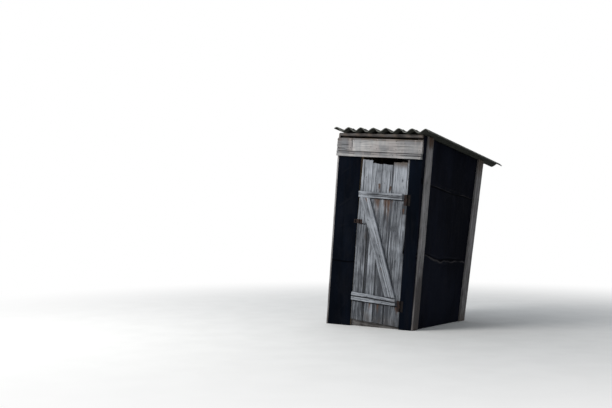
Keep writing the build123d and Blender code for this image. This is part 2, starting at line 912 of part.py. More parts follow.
os.makedirs("parts", exist_ok=True)
for piece_name, piece in pieces.items():
    piece.part.label = piece_name
    export_step(piece.part, f"parts/{piece_name}.step")

hinge_foot = shed.from_local_coords((hinge_x, hinge_y, 0))
hasp_foot = shed.from_local_coords((hasp_x, hasp_y, 0))
print("frame origin", shed.origin)
print("door axis through", hinge_foot, "along", shed.z_dir)
print("hasp axis through", hasp_foot, "along", shed.z_dir)
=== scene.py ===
import math

import bpy
import numpy as np
from bpy.props import FloatProperty, FloatVectorProperty, IntProperty, PointerProperty
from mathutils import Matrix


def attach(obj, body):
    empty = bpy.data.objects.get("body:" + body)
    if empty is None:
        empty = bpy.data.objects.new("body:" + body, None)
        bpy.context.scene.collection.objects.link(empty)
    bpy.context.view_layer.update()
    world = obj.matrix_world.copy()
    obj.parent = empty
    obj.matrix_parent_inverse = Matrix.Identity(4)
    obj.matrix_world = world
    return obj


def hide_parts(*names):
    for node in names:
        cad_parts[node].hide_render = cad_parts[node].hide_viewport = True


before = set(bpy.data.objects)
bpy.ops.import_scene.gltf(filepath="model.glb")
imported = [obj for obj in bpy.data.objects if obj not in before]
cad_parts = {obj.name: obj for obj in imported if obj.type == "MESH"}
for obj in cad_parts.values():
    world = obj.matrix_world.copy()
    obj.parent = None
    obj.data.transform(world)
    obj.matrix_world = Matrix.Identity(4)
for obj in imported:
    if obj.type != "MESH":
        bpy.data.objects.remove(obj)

bl_info = {
    "name": "Leaning Plank Outhouse",
    "version": (1, 0, 0),
    "blender": (4, 5, 0),
    "location": "View3D > Sidebar > Outhouse",
    "description": "Weathered boards, roofing felt, corrugated sheet and rusty ironwork on the packed frame",
    "category": "Object",
}


def size(name, description, default):
    """A length in metres that a user may change."""
    return FloatProperty(name=name, description=description, default=default, unit="LENGTH")


def angle(name, description, degrees):
    """An angle that a user may change."""
    return FloatProperty(name=name, description=description, default=math.radians(degrees), subtype="ANGLE")


def colour(name, description, default):
    """A linear colour that a user may change."""
    return FloatVectorProperty(name=name, description=description, default=default, subtype="COLOR")


class HutSizes(bpy.types.PropertyGroup):
    """Sizes of the walls, which lean to the right as one."""

    lean: angle("Lean", "Tilt of the whole hut to the right", 4.8)
    rake: angle("Back rake", "Tilt of the back wall", 6.3)
    foot_x: size("Foot across", "Place of the leaning frame's origin across", -0.123269)
    foot_y: size("Foot deep", "Place of the leaning frame's origin in depth", -0.751576)
    half_width: size("Half width", "Centre to the corner boards' outer faces", 0.520)
    depth: size("Depth", "Front felt to back felt at the ground", 1.105)
    front_height: size("Front height", "Top of the header board", 1.910)
    sheathing: size("Sheathing", "Thickness of the wall boards", 0.022)
    felt: size("Felt", "Thickness of the roofing felt", 0.004)
    corner_board: size("Corner board", "Thickness of the corner boards", 0.020)
    corner_width: size("Corner board width", "Width of the corner boards", 0.123)
    askew_width: size("Askew board width", "Width of the board at the right of the front", 0.106)
    askew_lean: angle("Askew board lean", "How far that board leans back", 1.7)
    post: size("Post", "Side of the square posts", 0.060)
    sill_width: size("Sill width", "Width of the ground sills", 0.100)
    sill_height: size("Sill height", "Top of the ground sills", 0.110)
    header_height: size("Header height", "Height of the header board", 0.131)
    header_thickness: size("Header thickness", "Thickness of the header board", 0.022)
    patch_length: size("Patch length", "Length of the short header board", 0.194)
    lath_height: size("Lath height", "Height of the lath under the header", 0.054)
    lath_thickness: size("Lath thickness", "Thickness of the lath", 0.030)
    wall_board: size("Wall board", "Width of one wall board with its gap", 0.123)
    upper_lap: size("Upper lap", "Upper felt's lap below the roof", 0.400)
    lower_lap: size("Lower lap", "Height of the lower felt's top edge", 0.715)


class RoofSizes(bpy.types.PropertyGroup):
    """Sizes of the rafters, battens and corrugated sheet."""

    pitch: angle("Pitch", "Fall of the roof to the back", 8.2)
    rise: size("Rise", "Roof's underside above the header board", 0.051)
    rafter_width: size("Rafter width", "Width of a rafter", 0.085)
    rafter_height: size("Rafter height", "Height of a rafter", 0.045)
    batten_width: size("Batten width", "Width of a batten", 0.055)
    batten_height: size("Batten height", "Height of a batten", 0.030)
    sheet_length: size("Sheet length", "Length of the corrugated sheet", 1.700)
    sheet_thickness: size("Sheet thickness", "Thickness of the corrugated sheet", 0.0058)
    wave_pitch: size("Wave pitch", "Crest to crest", 0.150)
    wave_height: size("Wave height", "Valley to crest", 0.040)
    wave_count: IntProperty(name="Waves", description="Number of crests", default=8)
    front_overhang: size("Front overhang", "Sheet in front of the wall", 0.093)
    left_margin: size("Left margin", "Outer crest to the sheet's left edge", 0.032)
    right_margin: size("Right margin", "Outer crest to the sheet's right edge", 0.048)
    shift: size("Shift", "Sheet's middle to the right of the hut's", 0.029)


class DoorSizes(bpy.types.PropertyGroup):
    """Sizes of the plank door."""

    left: size("Left edge", "Door's left edge", -0.214)
    width: size("Width", "Door's width", 0.568)
    top: size("Top", "Top of the longest plank", 1.698)
    bottom: size("Bottom", "Foot of the planks", 0.0537)
    gap: size("Gap", "Gap to the walls at each side", 0.006)
    left_taper: size("Left taper", "How far the left edge runs in towards the top", 0.020)
    taper_start: size("Taper start", "Height from which the left edge runs in", 1.150)
    brace_foot: size("Brace foot", "Left edge to the middle of the brace's foot", 0.458)
    brace_head: size("Brace head", "Left edge to the middle of the brace's head", 0.084)
    plank: size("Plank thickness", "Thickness of the planks", 0.020)
    ledge: size("Ledge thickness", "Thickness of the ledges", 0.025)
    brace: size("Brace thickness", "Thickness of the brace", 0.022)
    upper_ledge: size("Upper ledge", "Middle of the upper ledge", 1.344)
    lower_ledge: size("Lower ledge", "Middle of the lower ledge", 0.293)
    hasp: size("Hasp", "Height of the hasp", 1.063)


class Finishes(bpy.types.PropertyGroup):
    """Main colours of the weathered finishes."""

    door_pale: colour("Door, pale grain", "Silver grey of the door's planks", (0.245, 0.262, 0.290))
    door_dark: colour("Door, dark grain", "Dark grain of the door's planks", (0.056, 0.061, 0.071))
    header_pale: colour("Header, pale grain", "Warm grey of the header board", (0.365, 0.355, 0.350))
    header_dark: colour("Header, dark grain", "Dark grain of the header board", (0.160, 0.153, 0.156))
    brown_pale: colour("Corner boards, pale grain", "Grey brown of the corner boards", (0.250, 0.240, 0.243))
    brown_dark: colour("Corner boards, dark grain", "Dark grain of the corner boards", (0.078, 0.071, 0.071))
    roof_pale: colour("Roof timber, pale grain", "Grey of the battens and rafters", (0.125, 0.118, 0.115))
    roof_dark: colour("Roof timber, dark grain", "Dark grain of the roof's timber", (0.036, 0.031, 0.029))
    inner_pale: colour("Inner timber, pale grain", "Timber out of the weather", (0.33, 0.26, 0.18))
    inner_dark: colour("Inner timber, dark grain", "Dark grain out of the weather", (0.13, 0.095, 0.065))
    rot: colour("Rot", "Brown of damp and rotten wood", (0.078, 0.058, 0.043))
    # One felt painted in two copies for light and shade: the darker one for the front in the key light, the
    # next, lighter one for the sides and back out of it.
    felt: colour("Felt", "Near-black roofing felt of the front", (0.0023, 0.0038, 0.0074))
    felt_dusty: colour("Shade-lightened felt", "Near-black roofing felt of the other walls", (0.0060, 0.0072, 0.0122))
    cement: colour("Sheet", "Weathered grey of the corrugated sheet", (0.088, 0.090, 0.080))
    moss: colour("Moss", "Dull green growth on the sheet", (0.026, 0.030, 0.012))
    rust: colour("Rust", "Main tone of the ironwork", (0.040, 0.021, 0.016))
    floor: colour("Floor", "Pale studio floor", (0.80, 0.80, 0.79))


# Places in the leaning frame

# A height near the back wall's top, where the raking line is read for pieces that end there
BACK_TOP = 1.75


def hut():
    return bpy.context.scene.outhouse_hut


def roof():
    return bpy.context.scene.outhouse_roof


def door():
    return bpy.context.scene.outhouse_door


def finishes():
    return bpy.context.scene.outhouse_finishes


def stand(x, y, z):
    """Leaning frame to row frame: x and z turned by the lean about the depth axis, then moved to the foot."""
    x, y, z = np.broadcast_arrays(x, y, z)
    cos_l, sin_l = math.cos(hut().lean), math.sin(hut().lean)
    return np.stack([hut().foot_x + x * cos_l + z * sin_l, hut().foot_y + y, z * cos_l - x * sin_l], -1)


def ground(x):
    """Level of the ground at x, measured up the leaning frame."""
    return x * math.tan(hut().lean)


def back_line(z, inset=0.0):
    """Place of the raking back felt's face at height z."""
    return hut().depth + math.tan(hut().rake) * z - inset


def roof_line(y, drop=0.0):
    """Height of the roof's underside at depth y, less an upright drop."""
    return hut().front_height + roof().rise - math.tan(roof().pitch) * y - drop


def rafter_drop():
    """A rafter's height measured upright: its height over the cosine of the pitch."""
    return roof().rafter_height / math.cos(roof().pitch)


def rafter_back():
    """Place of the rafters' back ends, where the back felt's face meets their underside."""
    fall, rake = math.tan(roof().pitch), math.tan(hut().rake)
    level = (float(roof_line(hut().depth)) - rafter_drop()) / (1 + fall * rake)
    return hut().depth + rake * level


def wall_face():
    """Half the width over the sheathing."""
    return hut().half_width - hut().corner_board - hut().felt


def inner_face():
    """Half the width between the wall boards' inner faces."""
    return wall_face() - hut().sheathing


# Noise on whole arrays


def lattice(ix, iy, iz, seed):
    """A number from 0 to 1 for each point of a whole-number lattice, from a hash of its indexes."""
    mask = 0xFFFFFFFF
    h = (ix * 374761393 + iy * 668265263 + iz * 1440662683 + seed * 974634777) & mask
    h = ((h ^ (h >> 13)) * 1274126177) & mask
    return ((h ^ (h >> 16)) & 0xFFFF) / 65535.0


def noise(x, y=0.0, z=0.0, seed=0):
    """Value noise from -1 to 1: lattice numbers blended along each axis with 3t^2 - 2t^3."""
    x, y, z = np.broadcast_arrays(np.asarray(x, float), y, z)
    ix, iy, iz = (np.floor(c).astype(np.int64) for c in (x, y, z))
    tx, ty, tz = x - ix, y - iy, z - iz
    tx, ty, tz = (t * t * (3 - 2 * t) for t in (tx, ty, tz))
    total = 0.0
    for dx in (0, 1):
        for dy in (0, 1):
            for dz in (0, 1):
                weight = (tx if dx else 1 - tx) * (ty if dy else 1 - ty) * (tz if dz else 1 - tz)
                total = total + weight * lattice(ix + dx, iy + dy, iz + dz, seed)
    return total * 2 - 1


def layered(x, y=0.0, z=0.0, seed=0, layers=3):
    """Sum of noises, each with twice the frequency and half the height of the last."""
    total = 0.0
    for layer in range(layers):
        scale = 2.0**layer
        total = total + noise(x * scale, y * scale, z * scale, seed + 17 * layer) / scale
    return total / (2 - 2.0 ** (1 - layers))


def ease(value, low, high):
    """0 below low, 1 above high, and the smooth curve 3t^2 - 2t^3 between them."""
    t = np.clip((value - low) / (high - low), 0, 1)
    return t * t * (3 - 2 * t)


def window(value, low, high, soft):
    """1 between low and high, fading to 0 over a soft margin inside each."""
    return ease(value, low, low + soft) * (1 - ease(value, high - soft, high))


def bell(value):
    """The bell curve exp(-value^2)."""
    return np.exp(-(value**2))


def as_function(value):
    """A number becomes a function that gives it everywhere."""
    return value if callable(value) else lambda at, *more: value + 0 * np.asarray(at, float)


def straight(x0, y0, x1, y1):
    """The line through two points, as a function."""
    return lambda t: y0 + (y1 - y0) * (np.asarray(t, float) - x0) / (x1 - x0)


def sunk(depth):
    """The line a little under the ground at which a piece starts, before it is cut off flat."""
    return lambda a: ground(a) - depth


# Closed surfaces. Each grid's last axis holds a place and nine painted values:
# grain (along, across, deep), marks (crack, knot, rust) and tone (tint, rot, wear); the crack mark also
# carries lines of painted shadow in the gaps between parts and under the door's ledges. Felt and sheet use
# marks and tone for edges, folds, seams, dust, moss and soot, and through them for painted highlights on
# folds, rims and what stands proud, painted shadow under laps, painted shade on the sheet's underside and
# painted light on its outer slope. Margins of a few tenths of a millimetre keep a shell inside the solid
# that it stands for.


def grid_of(*values):
    """Numbers and arrays, spread to one shape and stacked along a last axis."""
    return np.stack(np.broadcast_arrays(*values), -1)


def tube_faces(rows, count):
    """Quads between neighbouring rings, and fans from the first and last ring to two centres after them."""
    i = np.arange(rows - 1)[:, None] * count
    j = np.arange(count)[None]
    k = (j + 1) % count
    quads = grid_of(i + j, i + k, i + count + k, i + count + j).reshape(-1, 4)
    j, k = j[0], k[0]
    top, centre = (rows - 1) * count, rows * count
    return quads, np.concatenate([grid_of(k, j, centre), grid_of(top + j, top + k, centre + 1)])


def close_tube(grid):
    """Rings carried along a path, and at each end two smaller rings and a centre."""
    rows, count, width = grid.shape
    first, last = grid[0].mean(0), grid[-1].mean(0)
    shrink = np.array([0.25, 0.6])[:, None, None]
    start = first + (grid[:1] - first) * shrink
    stop = last + (grid[-1:] - last) * shrink[::-1]
    values = np.concatenate([part.reshape(-1, width) for part in (start, grid, stop, first, last)])
    return values, *tube_faces(rows + 4, count)


def close_pair(face, back):
    """Two open grids of one shape, face and back, joined by a strip along their four edges."""
    rows, count, width = face.shape
    shift = rows * count
    values = np.concatenate([face.reshape(-1, width), back.reshape(-1, width)])
    index = np.arange(shift).reshape(rows, count)
    quads = np.stack([index[:-1, :-1], index[:-1, 1:], index[1:, 1:], index[1:, :-1]], -1).reshape(-1, 4)
    rim = np.concatenate([index[0, :-1], index[:-1, -1], index[-1, :0:-1], index[:0:-1, 0]])
    ahead = np.roll(rim, -1)
    strip = np.stack([ahead, rim, rim + shift, ahead + shift], -1)
    return values, np.concatenate([quads, quads[:, ::-1] + shift, strip]), np.zeros((0, 3), int)


def turned_out(points, quads, fans):
    """Faces turned over where the shell's signed volume, a sum of corner products, is below 0."""
    tris = np.concatenate([quads[:, [0, 1, 2]], quads[:, [0, 2, 3]], fans])
    a, b, c = (points[tris[:, n]] for n in range(3))
    middle = points.mean(0)
    if np.einsum("ij,ij->i", a - middle, np.cross(b - middle, c - middle)).sum() < 0:
        return quads[:, ::-1], fans[:, ::-1]
    return quads, fans


def shell(grids, place, closed_by):
    """A closed shell from grids in a piece's own coordinates, put in place and cut off at the ground."""
    values, quads, fans = closed_by(*grids)
    points = place(values[:, 0], values[:, 1], values[:, 2])
    points[:, 2] = np.maximum(points[:, 2], 0.0)
    return points, values[:, 3:], *turned_out(points, quads, fans)


def build(name, shells, finish, body, replaces=()):
    """One object from closed shells, with its painted values as attributes, riding on a body."""
    before = np.cumsum([0] + [len(part[0]) for part in shells])
    points, paint = (np.concatenate([part[n] for part in shells]) for n in (0, 1))
    quads, fans = (np.concatenate([part[n] + b for part, b in zip(shells, before)]) for n in (2, 3))
    corners = np.concatenate([quads.ravel(), fans.ravel()]).astype(np.int32)
    starts = np.concatenate([np.arange(len(quads)) * 4, len(quads) * 4 + np.arange(len(fans)) * 3])
    mesh = bpy.data.meshes.new(name)
    mesh.vertices.add(len(points))
    mesh.vertices.foreach_set("co", points.astype(np.float32).ravel())
    mesh.loops.add(len(corners))
    mesh.loops.foreach_set("vertex_index", corners)
    mesh.polygons.add(len(starts))
    mesh.polygons.foreach_set("loop_start", starts.astype(np.int32))
    mesh.polygons.foreach_set("use_smooth", np.ones(len(starts), bool))
    for number, kind in enumerate(("grain", "marks", "tone")):
        layer = mesh.attributes.new(kind, "FLOAT_VECTOR", "POINT")
        layer.data.foreach_set("vector", paint[:, 3 * number : 3 * number + 3].astype(np.float32).ravel())
    mesh.update(calc_edges=True)
    if mesh.validate():
        raise RuntimeError(f"{name} has broken faces")
    mesh.materials.append(finish)
    piece = bpy.data.objects.new(name, mesh)
    bpy.context.scene.collection.objects.link(piece)
    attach(piece, body)
    if replaces:
        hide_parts(*replaces)


# Boards


def board_loop(half, thick, radius, count):
    """Closed cross-section of a board: its face from left to right, right edge, back and left edge, with
    quarter-circle corners. Gives across as a share of the half width, depth, and the outward direction."""
    share = radius / half
    lead = np.array([0.0, 0.15, 0.5])

    def face(number):
        straight_part = np.linspace(-1 + share, 1 - share, number)
        a = np.concatenate([-1 + share * lead, straight_part, 1 - share * lead[::-1]])
        reach = np.clip((np.abs(a) - 1 + share) / share, 0, 1)
        return a, radius * (1 - np.sqrt(1 - reach**2))

    a, drop = face(count)
    back_a, back_drop = face(max(count // 3, 3))
    side = np.linspace(radius, thick - radius, 5)[1:-1]
    across = np.concatenate([a, 0 * side + 1, back_a[::-1], 0 * side - 1])
    depth = np.concatenate([drop, side, thick - back_drop[::-1], side[::-1]])
    step_a = (np.roll(across, -1) - np.roll(across, 1)) * half
    step_n = -(np.roll(depth, -1) - np.roll(depth, 1))
    length = np.hypot(step_a, step_n)
    return across, depth, -step_n / length, step_a / length


def board(
    place, left, right, low, high, thick, seed, count=8, rows=24, radius=0.002, relief=0.0004,
    ragged=(0.002, 0.002), wane=0.0012, axis=0.0, cracks_and_gap_shade=(), nicks_and_shade_lines=(), knots=(), rust=(), tint=0.0, rot=0.0,
    pits=0.0,
):
    """A sawn board: its cross-section carried from one end to the other. Across runs between the two edge
    lines, along between the two end lines. The face is pushed along its normal by stretched noise for the
    grain and by bell curves for cracks and nicks, and lines of grain part round knots. Cracks and nicks are
    painted dark; some of them are painted shadow: lines in the gaps between parts and under the door's
    ledges. A crack is given by its place across, its two ends, width, depth and wander; a nick by its place
    along, its two ends, width and depth; a knot by its place and size; a rust run by its place across, top,
    width and fall."""
    left, right, low, high, axis, tint, rot = map(as_function, (left, right, low, high, axis, tint, rot))
    middle = 0.5 * (low(0.0) + high(0.0))
    half = float(0.5 * (right(middle) - left(middle)))
    hat, depth, out_a, out_n = (c[None] for c in board_loop(half, thick, radius, count))
    a = 0.5 * (left(middle) + right(middle)) + hat * half
    start = low(a) + ragged[0] * layered(a * 75, depth * 60, 0.0, seed + 1, 4)
    stop = high(a) + ragged[1] * layered(a * 75, depth * 60, 5.0, seed + 2, 4)
    length = float(np.mean(stop - start))
    corner = radius / length
    tip = corner * np.array([0.0, 0.15, 0.5])
    along = np.concatenate([tip, np.linspace(corner, 1 - corner, rows), 1 - tip[::-1]])[:, None]
    v = start + along * (stop - start)
    edge_l = left(v) + wane * layered(v * 7, 0.0, depth * 9, seed + 3, 4)
    edge_r = right(v) + wane * layered(v * 7, 4.0, depth * 9, seed + 4, 4)
    a = edge_l + 0.5 * (hat + 1) * (edge_r - edge_l)
    near = np.clip(1 - np.minimum(along, 1 - along) * length / radius, 0, 1)
    push = -radius * (1 - np.sqrt(1 - near**2))
    bent = line = a - axis(v)
    face = np.clip(out_n, 0, 1)
    crack_and_shade_line, knot, streak = (np.zeros_like(a) for _ in range(3))
    for at, v_from, v_to, width, deep, wander in cracks_and_gap_shade:
        path = at + wander * layered(v * 6, seed + 0.3, 0.0, seed + 9)
        taper = window(v, v_from, v_to, 0.35 * (v_to - v_from))
        ditch = bell((line - path) / (width * (0.35 + 0.65 * taper))) * taper * face
        push = push - deep * ditch
        crack_and_shade_line = np.maximum(crack_and_shade_line, ditch)
    for at, a_from, a_to, width, deep in nicks_and_shade_lines:
        path = at + 0.004 * layered(a * 40, seed + 0.7, 0.0, seed + 10)
        ditch = bell((v - path) / width) * window(a, a_from, a_to, 0.01) * face
        push = push - deep * ditch
        crack_and_shade_line = np.maximum(crack_and_shade_line, ditch)
    for at, v_at, across in knots:
        far = ((line - at) ** 2 + ((v - v_at) / 1.7) ** 2) / across**2
        bent = at + (bent - at) * (1 - 0.9 * np.exp(-far / 2.2))
        knot = np.maximum(knot, np.exp(-far))
        push = push + face * across * (0.05 * np.exp(-far) - 0.10 * np.exp(-((np.sqrt(far) - 1.15) ** 2) * 9))
    for at, v_top, width, fall in rust:
        below = v_top - v
        path = at + 0.004 * noise(v * 30, 0.2, 0.0, seed + 12)
        run = bell((line - path) / width) * np.exp(-np.where(below > 0, below / fall, -below / 0.003))
        streak = np.maximum(streak, run * face * (0.65 + 0.35 * noise(a * 400, v * 40, 0.0, seed + 13)))
    fibre = 0.4 * noise(v * 9, bent * 330, depth * 200, seed + 6)
    grain = layered(v * 2.1, bent * 85, depth * 85, seed + 5, 3) + fibre
    hollow = ease(layered(v * 16, a * 60, 0.0, seed + 21), 0.25, 0.6) * pits * (0.4 + 0.6 * face)
    push = push + relief * grain - hollow
    wear = np.clip(np.abs(hat) * 14 - 12.8, 0, 1) * (0.5 + 0.5 * noise(v * 9, hat, depth * 40, seed + 7))
    tone = tint(a, v) + 0.25 * noise(v * 1.3, seed * 0.7, 0.0, seed + 8)
    grid = grid_of(
        a + push * out_a, v, -depth + push * out_n, v + seed * 1.37, bent, seed * 0.61 - depth,
        crack_and_shade_line, knot, streak, tone, rot(a, v), wear,
    )
    return shell((grid,), place, close_tube)


def front_upright(y):
    """Upright pieces on the front: across is x, along is z, and out is towards the viewer from y."""
    return lambda a, v, n: stand(a, y - n, v)


def front_level(y):
    """Level boards on the front: across is z, along is x."""
    return lambda a, v, n: stand(v, y - n, a)


def side_upright(x, side=1):
    """Upright pieces on a side wall: across is y, along is z, and out is away from the hut."""
    return lambda a, v, n: stand(side * (x + n), a, v)


def side_level(x, side=1):
    """Timbers that run to the back on a side wall: across is z, along is y."""
    return lambda a, v, n: stand(side * (x + n), v, a)


def back_upright(inset):
    """Upright pieces on the raking back wall: across is x, along is z."""
    return lambda a, v, n: stand(a, back_line(v) - inset + n, v)


def back_level(inset):
    """Level timbers on the raking back wall: across is z, along is x."""
    return lambda a, v, n: stand(v, back_line(a) - inset + n, a)


def on_slope(a, v, n):
    """Timbers along the roof's slope: across is x, along is y, and out is up from the roof's underside."""
    return stand(a, v, roof_line(v) + n)


def across_slope(a, v, n):
    """Timbers across the roof's slope: across is y, along is x."""
    return stand(v, a, roof_line(a) + n)


def row_of_boards(place, start, stop, low, high, thick, seed, end_right=None, **wear):
    """Like boards side by side from start to stop, of about the wall board's width, with a small gap each."""
    number = max(int(round((stop - start) / hut().wall_board)), 1)
    edges = np.linspace(start, stop, number + 1)
    half_gap = 0.0015
    shells = []
    for n in range(number):
        right = end_right if end_right and n == number - 1 else edges[n + 1] - half_gap
        tint = 0.35 * float(noise(n * 3.7, seed * 1.3, 0.0, seed))
        span = (edges[n] + half_gap, right, low, high)
        shells.append(board(place, *span, thick, seed + 31 * n, tint=tint, **wear))
    return shells


# Felt


def felt_skin(
    place, left, right, low, high, seed, cols, rows, flat, folds=(), joints=(), lift=None, ragged=0.003,
    tears=(), worn_and_highlight_rims=(0, 0), lap_shadows=(),
):
    """Roofing felt over boards: a grid whose height over the wall is the felt's thickness plus slow buckles,
    creases where noise passes 0, folds along lines and shallow grooves over board joints. A fold is a bell
    curve across its line with a lower one taken off beside it. flat gives, for a place, how far the felt is
    free to stand off; lift raises an edge; tears cut the top edge down; the rim widths give the light strip
    along the lower and the top edge, worn edge and painted highlight; the lap shadow lines are painted
    shadow under a lap, drawn dark like the grooves. Folds and what stands proud are painted lighter: wear,
    dust and painted highlight."""
    left, right, low, high = map(as_function, (left, right, low, high))
    s = np.linspace(0, 1, cols)[None]
    t = np.linspace(0, 1, rows)[:, None]
    middle = 0.5 * (low(0.0) + high(0.0))
    u = left(middle) + s * (right(middle) - left(middle))
    torn = sum((-deep * bell((u - at) / width) for at, width, deep in tears), 0 * u)
    start = low(u) + ragged * layered(u * 22, 0.0, 0.0, seed + 1, 4)
    stop = high(u) + ragged * layered(u * 22, 3.0, 0.0, seed + 2, 4) + torn
    v = start + t * (stop - start)
    u = left(v) + s * (right(v) - left(v))
    free = flat(u, v)
    buckle = 0.0034 * layered(u * 3.2, v * 2.6, 0.0, seed + 3, 3)
    bulge = buckle + 0.0011 * layered(u * 17, v * 9, 0.0, seed + 4, 3)
    near_zero = 1 - 7 * np.abs(layered(u * 5 + 0.6 * v, v * 3.3 - 0.5 * u, 0.0, seed + 5))
    crease = 0.0012 * np.clip(near_zero, 0, 1)
    fold = 0.0
    for u0, v0, u1, v1, width, height in folds:
        du, dv = u1 - u0, v1 - v0
        span = math.hypot(du, dv)
        along = ((u - u0) * du + (v - v0) * dv) / span
        aside = ((u - u0) * dv - (v - v0) * du) / span + 0.012 * noise(along * 7, seed, 0.0, seed + 6)
        taper = window(along, -0.1 * span, 1.1 * span, 0.5 * span)
        dip = 0.4 * bell((aside - 3.0 * width) / (2 * width))
        fold = fold + height * (bell(aside / (1.8 * width)) - dip) * taper
    seam_and_lap_shadow = sum((bell((u - at) / 0.005) for at in joints), 0 * u)
    seam_and_lap_shadow = seam_and_lap_shadow * (0.5 + 0.5 * noise(u * 2, v * 3.1, 0.0, seed + 7))
    # Painted shadow: a dark line where one course laps over another.
    for gap in lap_shadows:
        seam_and_lap_shadow = np.maximum(seam_and_lap_shadow, bell((v - gap(u)) / 0.010) * 2)
    proud = bulge + crease + fold
    out = proud * free * window(s, -0.2, 1.2, 0.25) - 0.0012 * np.minimum(seam_and_lap_shadow, 1) * free
    out = np.maximum(out, -0.0022)
    if lift:
        out = out + lift(u, v, t)
    height = hut().felt + out
    # Lighter where the felt stands proud: dust and painted highlight.
    dust_and_highlight = np.clip(0.5 + 260 * proud * free, 0, 1)
    # Lighter along folds: wear and painted highlight.
    fold_wear_and_highlight = np.clip(fold * 170, 0, 1) * free
    # Light strips along an edge: worn edge and painted highlight.
    rim = 0.0
    for wide, far in zip(worn_and_highlight_rims, (v - start, stop - v)):
        if wide:
            uneven = 0.75 + 0.25 * noise(u * 9, seed=seed + 9)
            rim = np.maximum(rim, (1 - ease(far, 0.2 * wide, wide)) * uneven)
    back = np.maximum(height - 0.0032, 0.0003)
    grids = [grid_of(u, v, level, u + seed, v, 0, fold_wear_and_highlight, seam_and_lap_shadow, rim, dust_and_highlight, 0, 0) for level in (height, back)]
    return shell(grids, place, close_pair)


# Small iron


def heads(places, outs, radius, seed, dome=0.35, sides=10, slot=False):
    """Nail or screw heads: each has rings of a flattened dome, radius times sine and dome height times
    cosine, turned to look along its own outward direction; a slot is a bell-shaped ditch across the dome."""
    number = len(places)
    rings = 6 if slot else 3
    tilt = np.linspace(1, 0.25, rings)[:, None] * math.pi / 2
    turn = np.arange(sides)[None] * 2 * math.pi / sides
    wide = radius * (1 + 0.12 * noise(np.arange(number) * 1.7, seed, 0.0, seed))[:, None, None]
    x = wide * (np.sin(tilt) * np.cos(turn))[None]
    y = wide * (np.sin(tilt) * np.sin(turn))[None]
    z = wide * dome * (np.cos(tilt) + 0 * turn)[None]
    foot_depth = 0.0012
    feet = x[:, :1] * 0.9, y[:, :1] * 0.9, z[:, :1] * 0 - foot_depth
    x, y, z = (np.concatenate([foot, ring], 1) for foot, ring in zip(feet, (x, y, z)))
    top = wide[:, 0, 0] * dome
    if slot:
        z = z - np.where(z > 0, wide * 0.22 * bell(y / (0.16 * wide)), 0)
        top = top - wide[:, 0, 0] * 0.22
    helper = np.where(np.abs(outs[:, 2:]) > 0.9, [[1.0, 0, 0]], [[0, 0, 1.0]])
    side_a = np.cross(helper, outs)
    side_a /= np.linalg.norm(side_a, axis=1)[:, None]
    side_b = np.cross(outs, side_a)
    spin = 3 * noise(np.arange(number) * 2.3, seed, 0.0, seed + 2)[:, None]
    turned_a = side_a * np.cos(spin) + side_b * np.sin(spin)
    turned_b = side_b * np.cos(spin) - side_a * np.sin(spin)
    x, y, z = (c.reshape(number, -1, 1) for c in (x, y, z))
    rim_points = places[:, None] + turned_a[:, None] * x + turned_b[:, None] * y + outs[:, None] * z
    centres = np.stack([places - outs * foot_depth, places + outs * top[:, None]], 1)
    points = np.concatenate([rim_points, centres], 1)
    shift = np.arange(number)[:, None, None] * points.shape[1]
    quads, fans = tube_faces(rings + 1, sides)
    points = points.reshape(-1, 3)
    paint = np.zeros((len(points), 9))
    return points, paint, (quads[None] + shift).reshape(-1, 4), (fans[None] + shift).reshape(-1, 3)


# Materials: a socket that takes part in sums, and the tree that it belongs to


def maths(kind, swapped=False):
    """An operator of Value, made as one Math node; swapped for a reflected operator."""

    def operator(self, other):
        one, two = (other, self) if swapped else (self, other)
        return self.shade.node("ShaderNodeMath", {"operation": kind}, {0: one, 1: two})

    return operator


class Value:
    """A number socket; sums on it add Math nodes to its tree."""

    def __init__(self, shade, socket):
        self.shade, self.socket = shade, socket

    __add__ = maths("ADD")
    __radd__ = maths("ADD", swapped=True)
    __sub__ = maths("SUBTRACT")
    __rsub__ = maths("SUBTRACT", swapped=True)
    __mul__ = maths("MULTIPLY")
    __rmul__ = maths("MULTIPLY", swapped=True)
    largest = maths("MAXIMUM")

    def __abs__(self):
        return self.shade.node("ShaderNodeMath", {"operation": "ABSOLUTE"}, {0: self})

    def outputs(self, *names):
        """Named outputs of the node that this socket belongs to."""
        return (Value(self.shade, self.socket.node.outputs[name]) for name in names)


